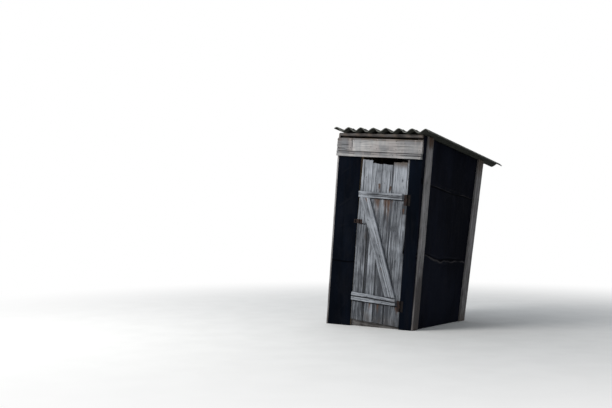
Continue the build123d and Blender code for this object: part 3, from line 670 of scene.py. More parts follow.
class Shade:
    """The node tree of a material or world, and short names for the nodes that the finishes use."""

    def __init__(self, owner):
        owner.use_nodes = True
        self.owner, self.tree = owner, owner.node_tree
        self.tree.nodes.clear()

    def node(self, kind, settings=None, inputs=None, output=0):
        """Any node: its settings first (a ramp's stops under the name stops), then its sockets."""
        made = self.tree.nodes.new(kind)
        for key, value in (settings or {}).items():
            if key == "stops":
                ramp = made.color_ramp
                for _ in value[2:]:
                    ramp.elements.new(0.5)
                for stop, (place, tone) in zip(ramp.elements, value):
                    stop.position = place
                    stop.color = (*tone, 1.0)
            else:
                setattr(made, key, value)
        for key, value in (inputs or {}).items():
            if isinstance(value, Value):
                self.tree.links.new(value.socket, made.inputs[key])
            else:
                made.inputs[key].default_value = value
        return Value(self, made.outputs[output]) if made.outputs else None

    def paint(self, name):
        """A painted attribute as a vector."""
        return self.node("ShaderNodeAttribute", {"attribute_name": name}, output="Vector")

    def parts(self, name):
        """The three numbers of a painted attribute."""
        return self.node("ShaderNodeSeparateXYZ", None, {0: self.paint(name)}).outputs("X", "Y", "Z")

    def place(self):
        return self.node("ShaderNodeTexCoord", output="Object")

    def stretch(self, vector, factors):
        return self.node("ShaderNodeVectorMath", {"operation": "MULTIPLY"}, {0: vector, 1: factors})

    def cloud(self, vector, scale=1.0, detail=3.0, rough=0.5, twist=0.0):
        inputs = {"Vector": vector, "Scale": scale, "Detail": detail, "Roughness": rough, "Distortion": twist}
        return self.node("ShaderNodeTexNoise", None, inputs)

    def cells(self, vector, scale):
        return self.node("ShaderNodeTexVoronoi", None, {"Vector": vector, "Scale": scale}, output="Distance")

    def ramp(self, value, low, high):
        """0 below low and 1 above high, with a smooth step between."""
        settings = {"interpolation_type": "SMOOTHSTEP"}
        return self.node("ShaderNodeMapRange", settings, {"Value": value, "From Min": low, "From Max": high})

    def mix(self, share, one, two):
        """Blend of two colours, each a socket or a plain colour."""
        one, two = (c if isinstance(c, Value) else (*c, 1.0) for c in (one, two))
        settings = {"data_type": "RGBA", "blend_type": "MIX"}
        return self.node("ShaderNodeMix", settings, {0: share, 6: one, 7: two}, output=2)

    def coats(self, tone, *pairs):
        """A tone under coats of paint, each a share and a colour."""
        for share, over in pairs:
            tone = self.mix(share, tone, over)
        return tone

    def surface(self, tone, rough, height, depth, specular, strength=1.0, **more):
        """Principled shader with its relief; constant shares are set on the shader itself."""
        bump = {"Strength": strength, "Distance": depth, "Height": height}
        inputs = {"Base Color": tone, "Roughness": rough, "Normal": self.node("ShaderNodeBump", None, bump)}
        inputs["Specular IOR Level"] = specular
        return self.node("ShaderNodeBsdfPrincipled", None, {**inputs, **more})

    def finish(self, surface):
        self.node("ShaderNodeOutputMaterial", None, {"Surface": surface})
        return self.owner


def shaded(tone, factor):
    """A colour with each of its parts times a factor."""
    return tuple(c * factor for c in tone)


def weathered_wood(name, kind, checks=0.75, blotch=0.0, contrast=1.0):
    """Old bare wood: four sizes of grain stretched along the board between a dark and a pale tone, thin
    checks, ringed knots, open cracks and lines of painted shadow, brown rot, rust runs and pale worn edges."""
    if name in bpy.data.materials:
        return bpy.data.materials[name]
    s = Shade(bpy.data.materials.new(name))
    pale, dark, rot = (tuple(getattr(finishes(), tone)) for tone in (f"{kind}_pale", f"{kind}_dark", "rot"))
    grain = s.paint("grain")
    crack_and_shade_line, knot, streak = s.parts("marks")
    tint, rotten, wear = s.parts("tone")
    broad = s.cloud(s.stretch(grain, (1.4, 22, 22)), detail=3, rough=0.55)
    flake = s.cloud(s.stretch(grain, (6.5, 58, 58)), detail=3, rough=0.6, twist=0.3)
    band = s.cloud(s.stretch(grain, (1.9, 85, 85)), detail=4, rough=0.62, twist=0.25)
    fibre = s.cloud(s.stretch(grain, (11, 620, 620)), detail=2, rough=0.6)
    patch = s.cloud(s.place(), scale=5.5, detail=5, rough=0.6)
    check_at = s.cloud(s.stretch(grain, (1.1, 62, 62)), detail=2, rough=0.5, twist=0.15)
    check = (1 - s.ramp(abs(check_at - 0.5), 0.003, 0.022)) * s.ramp(broad, 0.42, 0.62)
    swing = (band - 0.5) + (broad - 0.5) * 0.8 + (flake - 0.5) * 0.9
    swing = swing + (fibre - 0.5) * 0.45 + (patch - 0.5) * 0.75
    light = 0.505 + swing * contrast + tint * 0.22
    between = tuple(0.6 * d + 0.4 * p for d, p in zip(dark, pale))
    stops = [(0.22, shaded(dark, 0.8)), (0.42, between), (0.62, pale), (0.92, shaded(pale, 1.5))]
    tone = s.node("ShaderNodeValToRGB", {"stops": stops}, {"Fac": light})
    damp = s.ramp(rotten + (patch - 0.5) * 0.9 + (band - 0.5) * 0.3, 0.25, 0.85)
    ring = s.ramp(knot, 0.12, 0.3) * (1 - s.ramp(knot, 0.36, 0.55))
    tone = s.coats(
        tone,
        (damp * 0.9, s.mix(band, shaded(rot, 0.55), shaded(rot, 1.5))),
        (wear * 0.45, shaded(pale, 1.25)),
        (s.ramp(knot, 0.3, 0.75) * 0.7, shaded(dark, 0.55)),
        (ring * 0.45, shaded(dark, 0.4)),
        (check * checks, shaded(dark, 0.30)),
    )
    if blotch:
        stain = s.cloud(s.stretch(s.place(), (15, 15, 3.5)), detail=3, rough=0.55)
        tone = s.coats(
            tone,
            (s.ramp(stain, 0.35, 0.68) * blotch, shaded((0.86, 0.92, 1.0), pale[0] * 0.62)),
            ((1 - s.ramp(stain, 0.36, 0.5)) * blotch, shaded((1.0, 0.92, 0.90), pale[0] * 0.95)),
        )
    red = s.mix(s.cloud(s.place(), scale=60, detail=4), (0.030, 0.017, 0.012), (0.125, 0.066, 0.040))
    # The crack coat also paints shadow: lines in gaps between parts and under the door's ledges.
    tone = s.coats(
        tone, (s.ramp(streak, 0.06, 0.38) * 0.92, red), (s.ramp(crack_and_shade_line, 0.15, 0.65) * 0.93, shaded(dark, 0.10))
    )
    rough = 0.80 + band * 0.16 - damp * 0.06
    height = band * 0.55 + fibre * 0.35 + broad * 0.25 - check * 0.8 + ring * 0.2
    return s.finish(s.surface(tone, rough, height, 0.0016, 0.28))


def felt_finish(name, kind):
    """Roofing felt: near-black, grit in fine cells, dust and painted highlight on what stands proud, dull,
    with wear and painted highlight on folds and rims, and painted shadow under laps. The coats' colours suit
    a felt of one blue, and are scaled with the blue of the felt that is given."""
    s = Shade(bpy.data.materials.new(name))
    base = tuple(getattr(finishes(), kind))
    fitted_blue = 0.0125
    factor = base[2] / fitted_blue
    fold_wear_and_highlight, seam_and_lap_shadow, rim = s.parts("marks")
    dust_and_highlight, _, _ = s.parts("tone")
    at = s.place()
    grit = s.cells(at, 900)
    fine = s.cloud(at, scale=260, detail=3, rough=0.7)
    patch = s.cloud(s.stretch(at, (3.0, 3.0, 1.1)), detail=5, rough=0.6)
    runs = s.cloud(s.stretch(at, (42, 42, 1.6)), detail=3, rough=0.6)
    tone = s.coats(
        s.mix(s.ramp(patch, 0.35, 0.7), shaded(base, 0.55), shaded(base, 1.45)),
        (s.ramp(runs, 0.5, 0.78) * 0.5, shaded((0.0125, 0.0115, 0.0150), factor)),
        # Dust and painted highlight on what stands proud.
        (s.ramp(dust_and_highlight, 0.5, 1.0) * s.ramp(fine, 0.3, 0.7) * 0.5, shaded((0.014, 0.015, 0.020), factor)),
        # Wear and painted highlight along folds.
        (s.ramp(fold_wear_and_highlight, 0.1, 1.0) * 0.65, shaded((0.022, 0.024, 0.030), factor)),
        (s.ramp(fine, 0.62, 0.74) * 0.3, shaded((0.026, 0.027, 0.030), factor)),
        # Worn edge and painted highlight along the rims.
        (s.ramp(rim + (patch - 0.5) * 0.9, 0.35, 0.8) * 0.85, (0.052, 0.050, 0.054)),
        # Dark over board joints, and painted shadow under laps.
        (s.ramp(seam_and_lap_shadow, 0.2, 1.4) * 0.8, shaded(base, 0.2)),
    )
    rough = 0.80 + patch * 0.18 - fold_wear_and_highlight * 0.05
    height = grit * 0.4 + fine * 0.5 + s.cloud(at, scale=34, detail=4) * 1.3
    return s.finish(s.surface(tone, rough, height, 0.0013, 0.02))


def sheet_finish():
    """Fibre cement: grey, darkened by soot, algae and painted shade on the underside, painted lighter on the
    outer slope, with pale lichen, moss where painted and a raw edge.
    """
    s = Shade(bpy.data.materials.new("Corrugated_fibre_cement"))
    base, green = tuple(finishes().cement), tuple(finishes().moss)
    edge, _, _ = s.parts("marks")
    growth, soot_and_shade, _ = s.parts("tone")
    at = s.place()
    fine = s.cloud(at, scale=190, detail=4, rough=0.7)
    patch = s.cloud(at, scale=7, detail=6, rough=0.62)
    lichen = (1 - s.ramp(s.cells(at, 46), 0.10, 0.26)) * s.ramp(patch, 0.5, 0.62)
    moss = s.mix(s.cloud(at, scale=120, detail=3), shaded(green, 0.6), shaded(green, 2.6))
    tone = s.coats(
        s.mix(s.ramp(patch, 0.3, 0.72), shaded(base, 0.42), shaded(base, 1.25)),
        (s.ramp(fine, 0.45, 0.75) * 0.4, shaded(base, 1.9)),
        (soot_and_shade * 0.75, (0.022, 0.023, 0.018)),
        (lichen * 0.4, (0.19, 0.20, 0.165)),
        (s.ramp(growth + (fine - 0.5) * 0.5, 0.3, 0.62), moss),
        (s.ramp(edge + (fine - 0.5) * 0.4, 0.35, 0.8) * 0.6, (0.20, 0.205, 0.19)),
    )
    height = fine * 0.5 + patch * 0.5 + s.ramp(growth, 0.3, 0.7) * s.cloud(at, scale=320, detail=3) * 2.0
    return s.finish(s.surface(tone, 0.86 + fine * 0.12, height, 0.0022, 0.25))


def rusty_iron(name, dark=1.0):
    """Rusted iron: dark scale, brown rust and orange bloom by size of noise, pitted, dull."""
    s = Shade(bpy.data.materials.new(name))
    at = s.place()
    wide = s.cloud(at, scale=38, detail=5, rough=0.65)
    fine = s.cloud(at, scale=420, detail=4, rough=0.7)
    pits = s.cells(at, 520)
    bloom = s.ramp(fine, 0.5, 0.72) * s.ramp(wide, 0.4, 0.7)
    scale = shaded((0.022, 0.016, 0.016), dark)
    tone = s.coats(
        s.mix(s.ramp(wide, 0.36, 0.62), scale, shaded(tuple(finishes().rust), dark)),
        (bloom * 0.8, shaded((0.120, 0.050, 0.024), dark)),
        ((1 - s.ramp(pits, 0.06, 0.25)) * 0.5, (0.014, 0.010, 0.010)),
    )
    metal = (1 - s.ramp(wide, 0.30, 0.48)) * 0.25
    height = wide * 0.8 + fine * 0.8 + s.ramp(pits, 0.05, 0.3) * 0.5
    return s.finish(s.surface(tone, 0.68 + fine * 0.28, height, 0.0009, 0.2, Metallic=metal))


def door_wood():
    return weathered_wood("Grey_door_boards", "door")


def header_wood():
    return weathered_wood("Pale_header_boards", "header", checks=0.35, blotch=0.5, contrast=0.7)


def corner_wood():
    return weathered_wood("Brown_corner_boards", "brown", contrast=0.85)


def roof_wood():
    return weathered_wood("Dark_roof_timber", "roof")


def inner_wood():
    return weathered_wood("Inner_timber", "inner")


# Door


def door_left_at(z):
    """The door's left edge, which runs in above the taper's start."""
    d = door()
    return d.left + d.left_taper * np.clip((z - d.taper_start) / (d.top - d.taper_start), 0, 1)


def plank_edges():
    """Each door plank's edges at the foot and at the top: shares of the width less half a gap, which is
    wide at the foot and narrow at the top."""
    d = door()
    bounds = d.left + d.width * np.concatenate([[0], np.cumsum((0.25, 0.206, 0.224, 0.32))])
    half_gaps = (0.0065, 0.0015)
    return [
        [edge for gap in half_gaps for edge in (bounds[n] + gap * (n > 0), bounds[n + 1] - gap * (n < 3))]
        for n in range(4)
    ]


def brace_line():
    """Foot level and head level of the brace, and its middle line between them."""
    d = door()
    low, top = d.lower_ledge + 0.0445, d.upper_ledge - 0.032
    return low, top, straight(low, d.left + d.brace_foot, top, d.left + d.brace_head)


def plank_marks_and_gap_shade():
    """Cracks, knots, rust runs, rot and tint of the four planks; cracks at a plank's edges widen the gaps and
    are painted shade that darkens the gaps between the planks.
    """
    return (
        dict(
            # Cracks on a plank's edge are painted shade that darkens the gap to the next plank.
            cracks_and_gap_shade=(
                (-0.0840, -0.20, 1.45, 0.0125, 0.005, 0.001), (-0.171, 1.20, 1.80, 0.0030, 0.013, 0.002),
                (-0.186, 0.30, 1.12, 0.0018, 0.006, 0.004), (-0.118, 0.62, 1.02, 0.0020, 0.006, 0.004),
                (-0.140, 1.22, 1.60, 0.0014, 0.004, 0.003),
            ),
            nicks_and_shade_lines=((1.040, -0.185, -0.066, 0.0048, 0.012),),
            knots=(
                (-0.098, 0.985, 0.0081), (-0.150, 0.52, 0.0062), (-0.120, 0.335, 0.0068), (-0.14, 1.52, 0.005)
            ),
            rot=lambda a, v: 0.5 * window(v, 0.82, 1.05, 0.10) * window(a, -0.150, -0.060, 0.04)
            + 0.35 * (1 - ease(v, 0.08, 0.26)) + 0.25 * ease(v, 1.60, 1.70),
            tint=lambda a, v: -0.55 + 0.95 * ease(v, 1.15, 1.50) - 0.35 * (1 - ease(v, 0.15, 0.5)),
        ),
        dict(
            cracks_and_gap_shade=(
                (-0.0645, -0.20, 1.45, 0.0090, 0.005, 0.001), (0.0385, -0.20, 1.15, 0.0050, 0.005, 0.001),
                (-0.030, 1.10, 1.70, 0.0016, 0.005, 0.003), (0.012, 0.20, 0.95, 0.0018, 0.005, 0.004),
                (-0.052, 0.75, 1.16, 0.0016, 0.006, 0.003),
            ),
            knots=(
                (-0.012, 1.17, 0.0062), (-0.040, 0.74, 0.005), (0.018, 1.06, 0.0043), (0.024, 1.425, 0.0095)
            ),
            rust=(
                (0.014, 1.345, 0.030, 0.13), (-0.022, 1.315, 0.006, 0.04), (0.0, 0.245, 0.01, 0.05),
                (0.024, 1.460, 0.013, 0.06),
            ),
            rot=lambda a, v: 0.4 * (1 - ease(v, 0.08, 0.26)) + 0.35 * ease(v, 1.61, 1.67),
            tint=lambda a, v: -0.35 + 0.5 * ease(v, 1.1, 1.45) - 0.25 * (1 - ease(v, 0.2, 0.45)),
        ),
        dict(
            cracks_and_gap_shade=(
                (0.1680, 1.12, 2.10, 0.0065, 0.005, 0.001), (0.1684, 0.60, 1.45, 0.0036, 0.004, 0.001),
                (0.0490, -0.20, 1.05, 0.0040, 0.005, 0.001), (0.112, 0.95, 1.69, 0.0018, 0.006, 0.004),
                (0.148, 1.30, 1.69, 0.0016, 0.006, 0.002), (0.085, 0.12, 0.60, 0.0016, 0.005, 0.003),
            ),
            knots=((0.140, 1.21, 0.0056), (0.080, 1.47, 0.0043), (0.152, 1.405, 0.0080)),
            rust=(
                (0.112, 1.345, 0.026, 0.14), (0.144, 1.345, 0.026, 0.17), (0.10, 0.245, 0.012, 0.06),
                (0.152, 1.440, 0.012, 0.05),
            ),
            rot=lambda a, v: 0.4 * (1 - ease(v, 0.08, 0.27)) + 0.3 * ease(v, 1.61, 1.66),
            tint=lambda a, v: -1.10 + 1.35 * ease(v, 0.9, 1.45) - 0.2 * (1 - ease(v, 0.15, 0.3)),
        ),
        dict(
            cracks_and_gap_shade=(
                (0.1755, 1.12, 2.10, 0.0045, 0.005, 0.001), (0.1768, 0.10, 1.50, 0.0034, 0.004, 0.001),
                (0.336, 1.36, 1.62, 0.0022, 0.008, 0.001), (0.242, 0.33, 0.90, 0.0016, 0.005, 0.004),
                (0.310, 0.95, 1.45, 0.0014, 0.004, 0.003), (0.205, 1.42, 1.69, 0.0016, 0.006, 0.002),
            ),
            knots=(
                (0.268, 0.700, 0.0074), (0.288, 1.505, 0.0085), (0.225, 1.00, 0.005), (0.322, 0.36, 0.0056)
            ),
            rust=((0.180, 1.328, 0.010, 0.09), (0.322, 1.225, 0.012, 0.045), (0.325, 0.245, 0.02, 0.05)),
            rot=lambda a, v: 0.4 * (1 - ease(v, 0.08, 0.28)) + 0.75 * ease(v, 1.56, 1.70)
            + 0.3 * ease(v, 1.50, 1.56) * ease(a, 0.333, 0.338),
            tint=lambda a, v: -0.50 + 1.3 * ease(v, 1.30, 1.45) - 0.4 * (1 - ease(v, 0.12, 0.35))
            - 2.6 * window(v, 1.165, 1.285, 0.025) * ease(a, 0.298, 0.318),
        ),
    )


def chipped_edge(plain, split):
    """The last plank's right edge: a chip that is deepest at one height, and cut back above the split."""
    chip_low, chip_at, chip_length, strip = 0.779, 0.791, 0.130, 0.0190

    def right(v):
        rise = np.clip((v - chip_low) / 0.012, 0, 1)
        chip = 0.014 * np.where(v < chip_at, rise, 1 - np.clip((v - chip_at) / chip_length, 0, 1))
        return plain(v) - chip - strip * ease(v, split - 0.004, split)

    return right


class OUTHOUSE_OT_door_planks(bpy.types.Operator):
    """Builds the door's four weathered planks with rotted tops, cracks, a chip and a split-off strip"""

    bl_idname = "outhouse.door_planks"
    bl_label = "Door Planks"

    def execute(self, context):
        d = door()
        place, split = front_upright(-hut().felt), 1.520
        drops = ((0.0, 0.004), (0.030, 0.044), (0.036, 0.046), (0.014, 0.012))
        under_upper = d.upper_ledge - 0.034
        under_lower = straight(d.left, d.lower_ledge - 0.047, d.left + d.width, d.lower_ledge - 0.034)
        for n, (drop, wear, edges) in enumerate(zip(drops, plank_marks_and_gap_shade(), plank_edges())):
            foot_l, foot_r, top_l, top_r = edges
            # Painted shadow: a dark line across each plank just under each ledge, carried as a shallow nick.
            ledge_shadow_lines = ((under_upper, 0.0055), (float(under_lower(foot_l)), 0.0070))
            nicks_and_shade_lines = wear.pop("nicks_and_shade_lines", ()) + tuple((at, -1.0, 1.0, width, 0.0004) for at, width in ledge_shadow_lines)
            left = straight(d.bottom, foot_l, d.top, top_l) if n else door_left_at
            plain = straight(d.bottom, foot_r, d.top, top_r)
            right = chipped_edge(plain, split) if n == 3 else plain
            high = straight(top_l, d.top - drop[0], top_r, d.top - drop[1])
            shells = [
                board(
                    place, left, right, d.bottom, high, d.plank, 100 + 13 * n, count=52, rows=210,
                    radius=0.0028, relief=0.0006, ragged=(0.006, 0.0085 if n else 0.006), wane=0.0014,
                    nicks_and_shade_lines=nicks_and_shade_lines, **wear,
                )
            ]
            if n == 3:
                strip = board(
                    place, lambda v: plain(v) - 0.0172, plain, split - 0.002, d.top + 0.0165, d.plank, 171,
                    count=14, rows=60, radius=0.0028, relief=0.0005, ragged=(0.0, 0.003), wane=0.0006,
                    tint=0.1, rot=lambda a, v: 0.3 + 0.3 * ease(v, 1.66, 1.70),
                )
                shells.append(strip)
            build(f"Door_plank_{n + 1}", shells, door_wood(), "door", [f"door_plank_{n + 1}"])
        return {"FINISHED"}


class OUTHOUSE_OT_door_ledges(bpy.types.Operator):
    """Builds the two ledges, the lower one split along its middle, and the diagonal brace"""

    bl_idname = "outhouse.door_ledges"
    bl_label = "Door Ledges and Brace"

    def execute(self, context):
        d = door()
        end = d.left + d.width - 0.044
        place = front_level(-hut().felt - d.ledge)
        upper_half, lower_half, lower_half_at_end, brace_half = 0.030, 0.0425, 0.030, 0.054

        def upper_tint(a, v):
            middle = window(a, d.upper_ledge - 0.019, d.upper_ledge + 0.019, 0.008)
            return 1.15 - 1.4 * middle * ease(v, -0.17, -0.05)

        upper = board(
            place, d.upper_ledge - upper_half, d.upper_ledge + upper_half, door_left_at(d.upper_ledge), end,
            d.ledge, 301, count=30, rows=120, radius=0.004, relief=0.0007, ragged=(0.003, 0.004), wane=0.002,
            axis=d.upper_ledge,
            cracks_and_gap_shade=(
                (0.006, -0.16, 0.24, 0.0030, 0.007, 0.004), (-0.010, -0.05, 0.36, 0.0026, 0.005, 0.003),
                (0.0, -0.30, -0.05, 0.0022, 0.006, 0.003),
            ),
            knots=((-0.006, -0.09, 0.005), (0.010, 0.19, 0.0043)),
            tint=upper_tint,
            rot=lambda a, v: 0.35 * ease(v, end - 0.075, end - 0.035),
        )
        build("Door_upper_ledge", [upper], door_wood(), "door", ["door_upper_ledge"])
        lower = board(
            place,
            straight(d.left, d.lower_ledge - lower_half, end, d.lower_ledge - lower_half_at_end),
            straight(d.left, d.lower_ledge + lower_half, end, d.lower_ledge + lower_half_at_end),
            d.left, end, d.ledge, 317, count=40, rows=130, radius=0.006, relief=0.0009, ragged=(0.004, 0.005),
            wane=0.0045, axis=d.lower_ledge,
            cracks_and_gap_shade=(
                (0.001, -0.50, 0.60, 0.0055, 0.017, 0.006), (0.021, 0.05, 0.25, 0.0018, 0.006, 0.003),
                (-0.022, -0.19, 0.05, 0.0016, 0.005, 0.003),
            ),
            knots=((0.018, -0.02, 0.0056), (-0.018, 0.16, 0.005)),
            tint=0.35,
            rot=lambda a, v: 0.12 + 0.3 * ease(v, 0.1, 0.3),
        )
        build("Door_lower_ledge", [lower], door_wood(), "door", ["door_lower_ledge"])
        low, top, middle = brace_line()
        half = brace_half / math.cos(math.atan((d.brace_foot - d.brace_head) / (top - low)))
        brace = board(
            front_upright(-hut().felt - d.brace), lambda v: middle(v) - half, lambda v: middle(v) + half, low,
            top, d.brace, 333, count=34, rows=170, radius=0.0035, relief=0.0007, ragged=(0.002, 0.002),
            wane=0.0025, axis=middle,
            cracks_and_gap_shade=(
                (-0.020, 0.40, 0.86, 0.0016, 0.005, 0.005), (0.024, 0.70, 1.22, 0.0015, 0.005, 0.004),
                (0.004, 1.02, 1.30, 0.0018, 0.006, 0.002),
            ),
            knots=(
                (0.004, 0.735, 0.0090), (-0.028, 1.085, 0.0056), (0.002, 1.190, 0.0085), (-0.01, 0.42, 0.005)
            ),
            rust=((0.012, 1.305, 0.009, 0.035), (-0.018, 0.62, 0.006, 0.03)),
            tint=lambda a, v: 0.05 + 0.9 * window(v, 0.98, 1.14, 0.05),
            rot=lambda a, v: 0.3 * (1 - ease(v, 0.34, 0.50)),
        )
        build("Door_brace", [brace], door_wood(), "door", ["door_brace"])
        return {"FINISHED"}


# Walls


class OUTHOUSE_OT_header(bpy.types.Operator):
    """Builds the long header board, the short weathered patch beside it and the lath under both"""

    bl_idname = "outhouse.header"
    bl_label = "Header"

    def execute(self, context):
        h = hut()
        low, top = h.front_height - h.header_height, h.front_height
        joint = -h.half_width + h.patch_length
        place = front_level(-h.felt - h.header_thickness)

        def browned(a, v):
            return 0.95 * ease(a, top - 0.034, top - 0.006) + 0.2 * (1 - ease(a, low, low + 0.02))

        def slanting_stain(a, v):
            line = a - low - 0.060 - 0.25 * (v - joint + 0.09)
            return -1.25 - 0.8 * bell(line / 0.013) * ease(v, -0.46, -0.40)

        long_board = board(
            place, low, top, joint + 0.003, h.half_width - 0.021, h.header_thickness, 401, count=44, rows=170,
            radius=0.0025, relief=0.0005, ragged=(0.002, 0.004), wane=0.002,
            cracks_and_gap_shade=(
                (1.794, -0.20, 0.30, 0.0014, 0.004, 0.003), (1.842, 0.10, 0.50, 0.0014, 0.004, 0.003),
                (1.868, -0.33, -0.05, 0.0012, 0.004, 0.002),
            ),
            knots=((1.828, -0.10, 0.0056), (1.800, 0.27, 0.005), (1.872, 0.30, 0.0043)),
            tint=lambda a, v: 1.0 - 1.2 * ease(v, -0.20, 0.15),
            rot=browned,
        )
        build("Header_board", [long_board], header_wood(), "shed", ["header_board_long"])
        patch = board(
            place, low, top, -h.half_width + 0.003, joint, h.header_thickness, 419, count=44, rows=70,
            radius=0.003, relief=0.0010, ragged=(0.005, 0.003), wane=0.0025,
            cracks_and_gap_shade=(
                (1.845, -0.50, -0.34, 0.0025, 0.007, 0.005), (1.805, -0.53, -0.38, 0.0022, 0.006, 0.004),
                (1.788, -0.46, -0.32, 0.0016, 0.005, 0.002),
            ),
            knots=((1.838, -0.46, 0.0062),),
            tint=slanting_stain,
            rot=lambda a, v: 0.25 + 0.6 * ease(a, top - 0.045, top),
            pits=0.0012,
        )
        build("Header_patch", [patch], header_wood(), "shed", ["header_board_short"])
        lath = board(
            front_level(-h.felt - h.lath_thickness), low - h.lath_height, low - 0.0012, -h.half_width + 0.003,
            h.half_width - 0.026, h.lath_thickness, 433, count=18, rows=200, radius=0.003, relief=0.0006,
            ragged=(0.004, 0.006), wane=0.0022,
            cracks_and_gap_shade=(
                # The first crack is painted shadow: a dark line along the gap between the lath and the
                # header.
                (low - 0.0035, -1.2, 1.2, 0.0045, 0.002, 0.0005), (1.756, -0.50, -0.22, 0.0020, 0.007, 0.003),
                (1.752, 0.12, 0.75, 0.0038, 0.008, 0.003), (1.750, -0.15, 0.20, 0.0013, 0.004, 0.002),
            ),
            tint=lambda a, v: 0.35 - 1.5 * ease(a, low - 0.040, low - 0.022),
            rot=lambda a, v: 0.3 * (1 - ease(v, -0.54, -0.40)),
        )
        build("Header_lath", [lath], header_wood(), "shed", ["header_lath"])
        return {"FINISHED"}


def front_corner_board(side):
    """Lines and marks of a front corner board; the right one leans back and has rust under the roof."""
    h = hut()
    front = -h.felt
    askew = math.tan(h.askew_lean) if side > 0 else 0.0
    width = h.askew_width if side > 0 else h.corner_width
    return dict(
        left=lambda v: front + askew * v,
        right=lambda v: front + width + askew * v,
        seed=501 + side,
        axis=lambda v: askew * v,
        cracks_and_gap_shade=(
            (0.040, 0.30, 1.10, 0.0016, 0.005, 0.004), (0.088, 1.20, 1.86, 0.0016, 0.006, 0.003),
            (0.066, 0.05, 0.42, 0.0018, 0.006, 0.003),
        ),
        knots=((0.096, 1.07, 0.0068), (0.040, 1.50, 0.005), (0.062, 0.66, 0.0056)),
        rust=((0.040, 1.95, 0.030, 0.100), (0.080, 1.92, 0.016, 0.060)) if side > 0 else (),
        tint=lambda a, v: 0.55 - 2.3 * (1 - ease(v, 0.35, 0.95)),
        rot=lambda a, v: 0.7 * ease(v, 1.76, 1.90) + 0.45 * (1 - ease(v, 0.06, 0.22)),
    )


def back_corner_board(side):
    """Lines and marks of a back corner board, which follows the raking back wall."""
    return dict(
        left=lambda v: back_line(v, hut().corner_width),
        right=back_line,
        seed=521 + side,
        axis=back_line,
        cracks_and_gap_shade=((-0.040, 0.50, 1.30, 0.0018, 0.006, 0.004), (-0.100, 0.08, 0.50, 0.0018, 0.006, 0.003)),
        knots=((-0.085, 1.18, 0.0062), (-0.050, 0.72, 0.0056)),
        tint=-0.15,
        rot=lambda a, v: 0.25 + 0.5 * ease(v, 1.50, 1.75) + 0.3 * (1 - ease(v, 0.06, 0.25)),
    )


class OUTHOUSE_OT_corner_boards(bpy.types.Operator):
    """Builds the four corner boards that hold the felt on both sides"""

    bl_idname = "outhouse.corner_boards"
    bl_label = "Corner Boards"

    def execute(self, context):
        h = hut()
        inset = 0.0008
        for side, name in ((1, "right"), (-1, "left")):
            for end, lines in (("front", front_corner_board(side)), ("back", back_corner_board(side))):
                made = board(
                    side_upright(h.half_width - inset, side), low=side * ground(h.half_width) - 0.004,
                    high=lambda a: roof_line(a, 0.001), thick=h.corner_board - inset, count=40, rows=170,
                    radius=0.0028, relief=0.0007, wane=0.0016, ragged=(0.0, 0.002), **lines,
                )
                node = f"{name}_{end}_corner_board"
                build(f"Corner_board_{name}_{end}", [made], corner_wood(), "shed", [node])
        return {"FINISHED"}


def between_corners(u, v):
    """1 on the part of a side wall that no corner board holds down, 0 under the corner boards."""
    h = hut()
    front = -h.felt + h.corner_width
    near, far = 0.004, 0.05
    at_back = ease(u, back_line(v, h.corner_width + far), back_line(v, h.corner_width + near))
    return ease(u, front + near, front + far) * (1 - at_back)


def upper_lap(u):
    """Foot of a side wall's upper course: a drop below the roof's line, and slow noise."""
    return roof_line(u, rafter_drop() + hut().upper_lap) + 0.012 * noise(u * 3.1, seed=61)


def lower_lap(u):
    """Top of a side wall's lower course: a level, higher at the front and lower behind by smooth steps."""
    return hut().lower_lap + 0.075 * (1 - ease(u, 0.12, 0.50)) - 0.030 * ease(u, 0.55, 1.15)


def lifted_foot(u, v, t):
    """Lift of the upper course's foot, which stands off the course under it."""
    uneven = 0.0045 + 0.0055 * ease(noise(u * 4.3, seed=71), -0.3, 0.7)
    return uneven * (1 - ease(t, 0.0, 0.10)) * between_corners(u, v)


def sagging_top(u, v, t):
    """Lift of the lower course's top edge, which hangs away from the wall."""
    return (0.004 + 0.010 * window(u, 0.28, 0.95, 0.25)) * ease(t, 0.93, 1.0) * between_corners(u, v)


def side_felt(side, shift):
    """Upper, middle and lower course of a side wall's felt."""
    h = hut()
    joints = np.arange(h.sheathing + h.wall_board, 1.3, h.wall_board)
    wall = dict(joints=joints, flat=between_corners, cols=110)
    edges = (side_upright(wall_face(), side), -h.felt, back_line)
    upper = felt_skin(
        *edges, upper_lap, lambda u: roof_line(u, 0.003), 600 + shift, rows=52, lift=lifted_foot,
        folds=((0.15, 1.714, 0.62, 1.652, 0.003, 0.0022), (0.60, 1.655, 1.08, 1.590, 0.003, 0.0026)),
        worn_and_highlight_rims=(0.014, 0), **wall,
    )
    middle = felt_skin(
        *edges, lambda u: lower_lap(u) - 0.045, lambda u: upper_lap(u) + 0.035, 620 + shift, rows=84,
        folds=(
            (0.20, 1.18, 0.95, 0.98, 0.006, 0.0018), (0.20, 0.793, 0.52, 0.742, 0.004, 0.0048),
            (0.50, 0.748, 0.98, 0.722, 0.004, 0.0042),
        ),
        lap_shadows=(lambda u: lower_lap(u) + 0.004, lambda u: upper_lap(u) - 0.008), **wall,
    )
    lower = felt_skin(
        *edges, ground(side * h.half_width) - 0.003, lower_lap, 640 + shift, rows=60, lift=sagging_top,
        folds=((0.30, 0.690, 0.75, 0.665, 0.005, 0.004),), ragged=0.008, worn_and_highlight_rims=(0, 0.034),
        tears=((0.47, 0.035, 0.014), (0.70, 0.06, 0.012)), **wall,
    )
    return upper, middle, lower


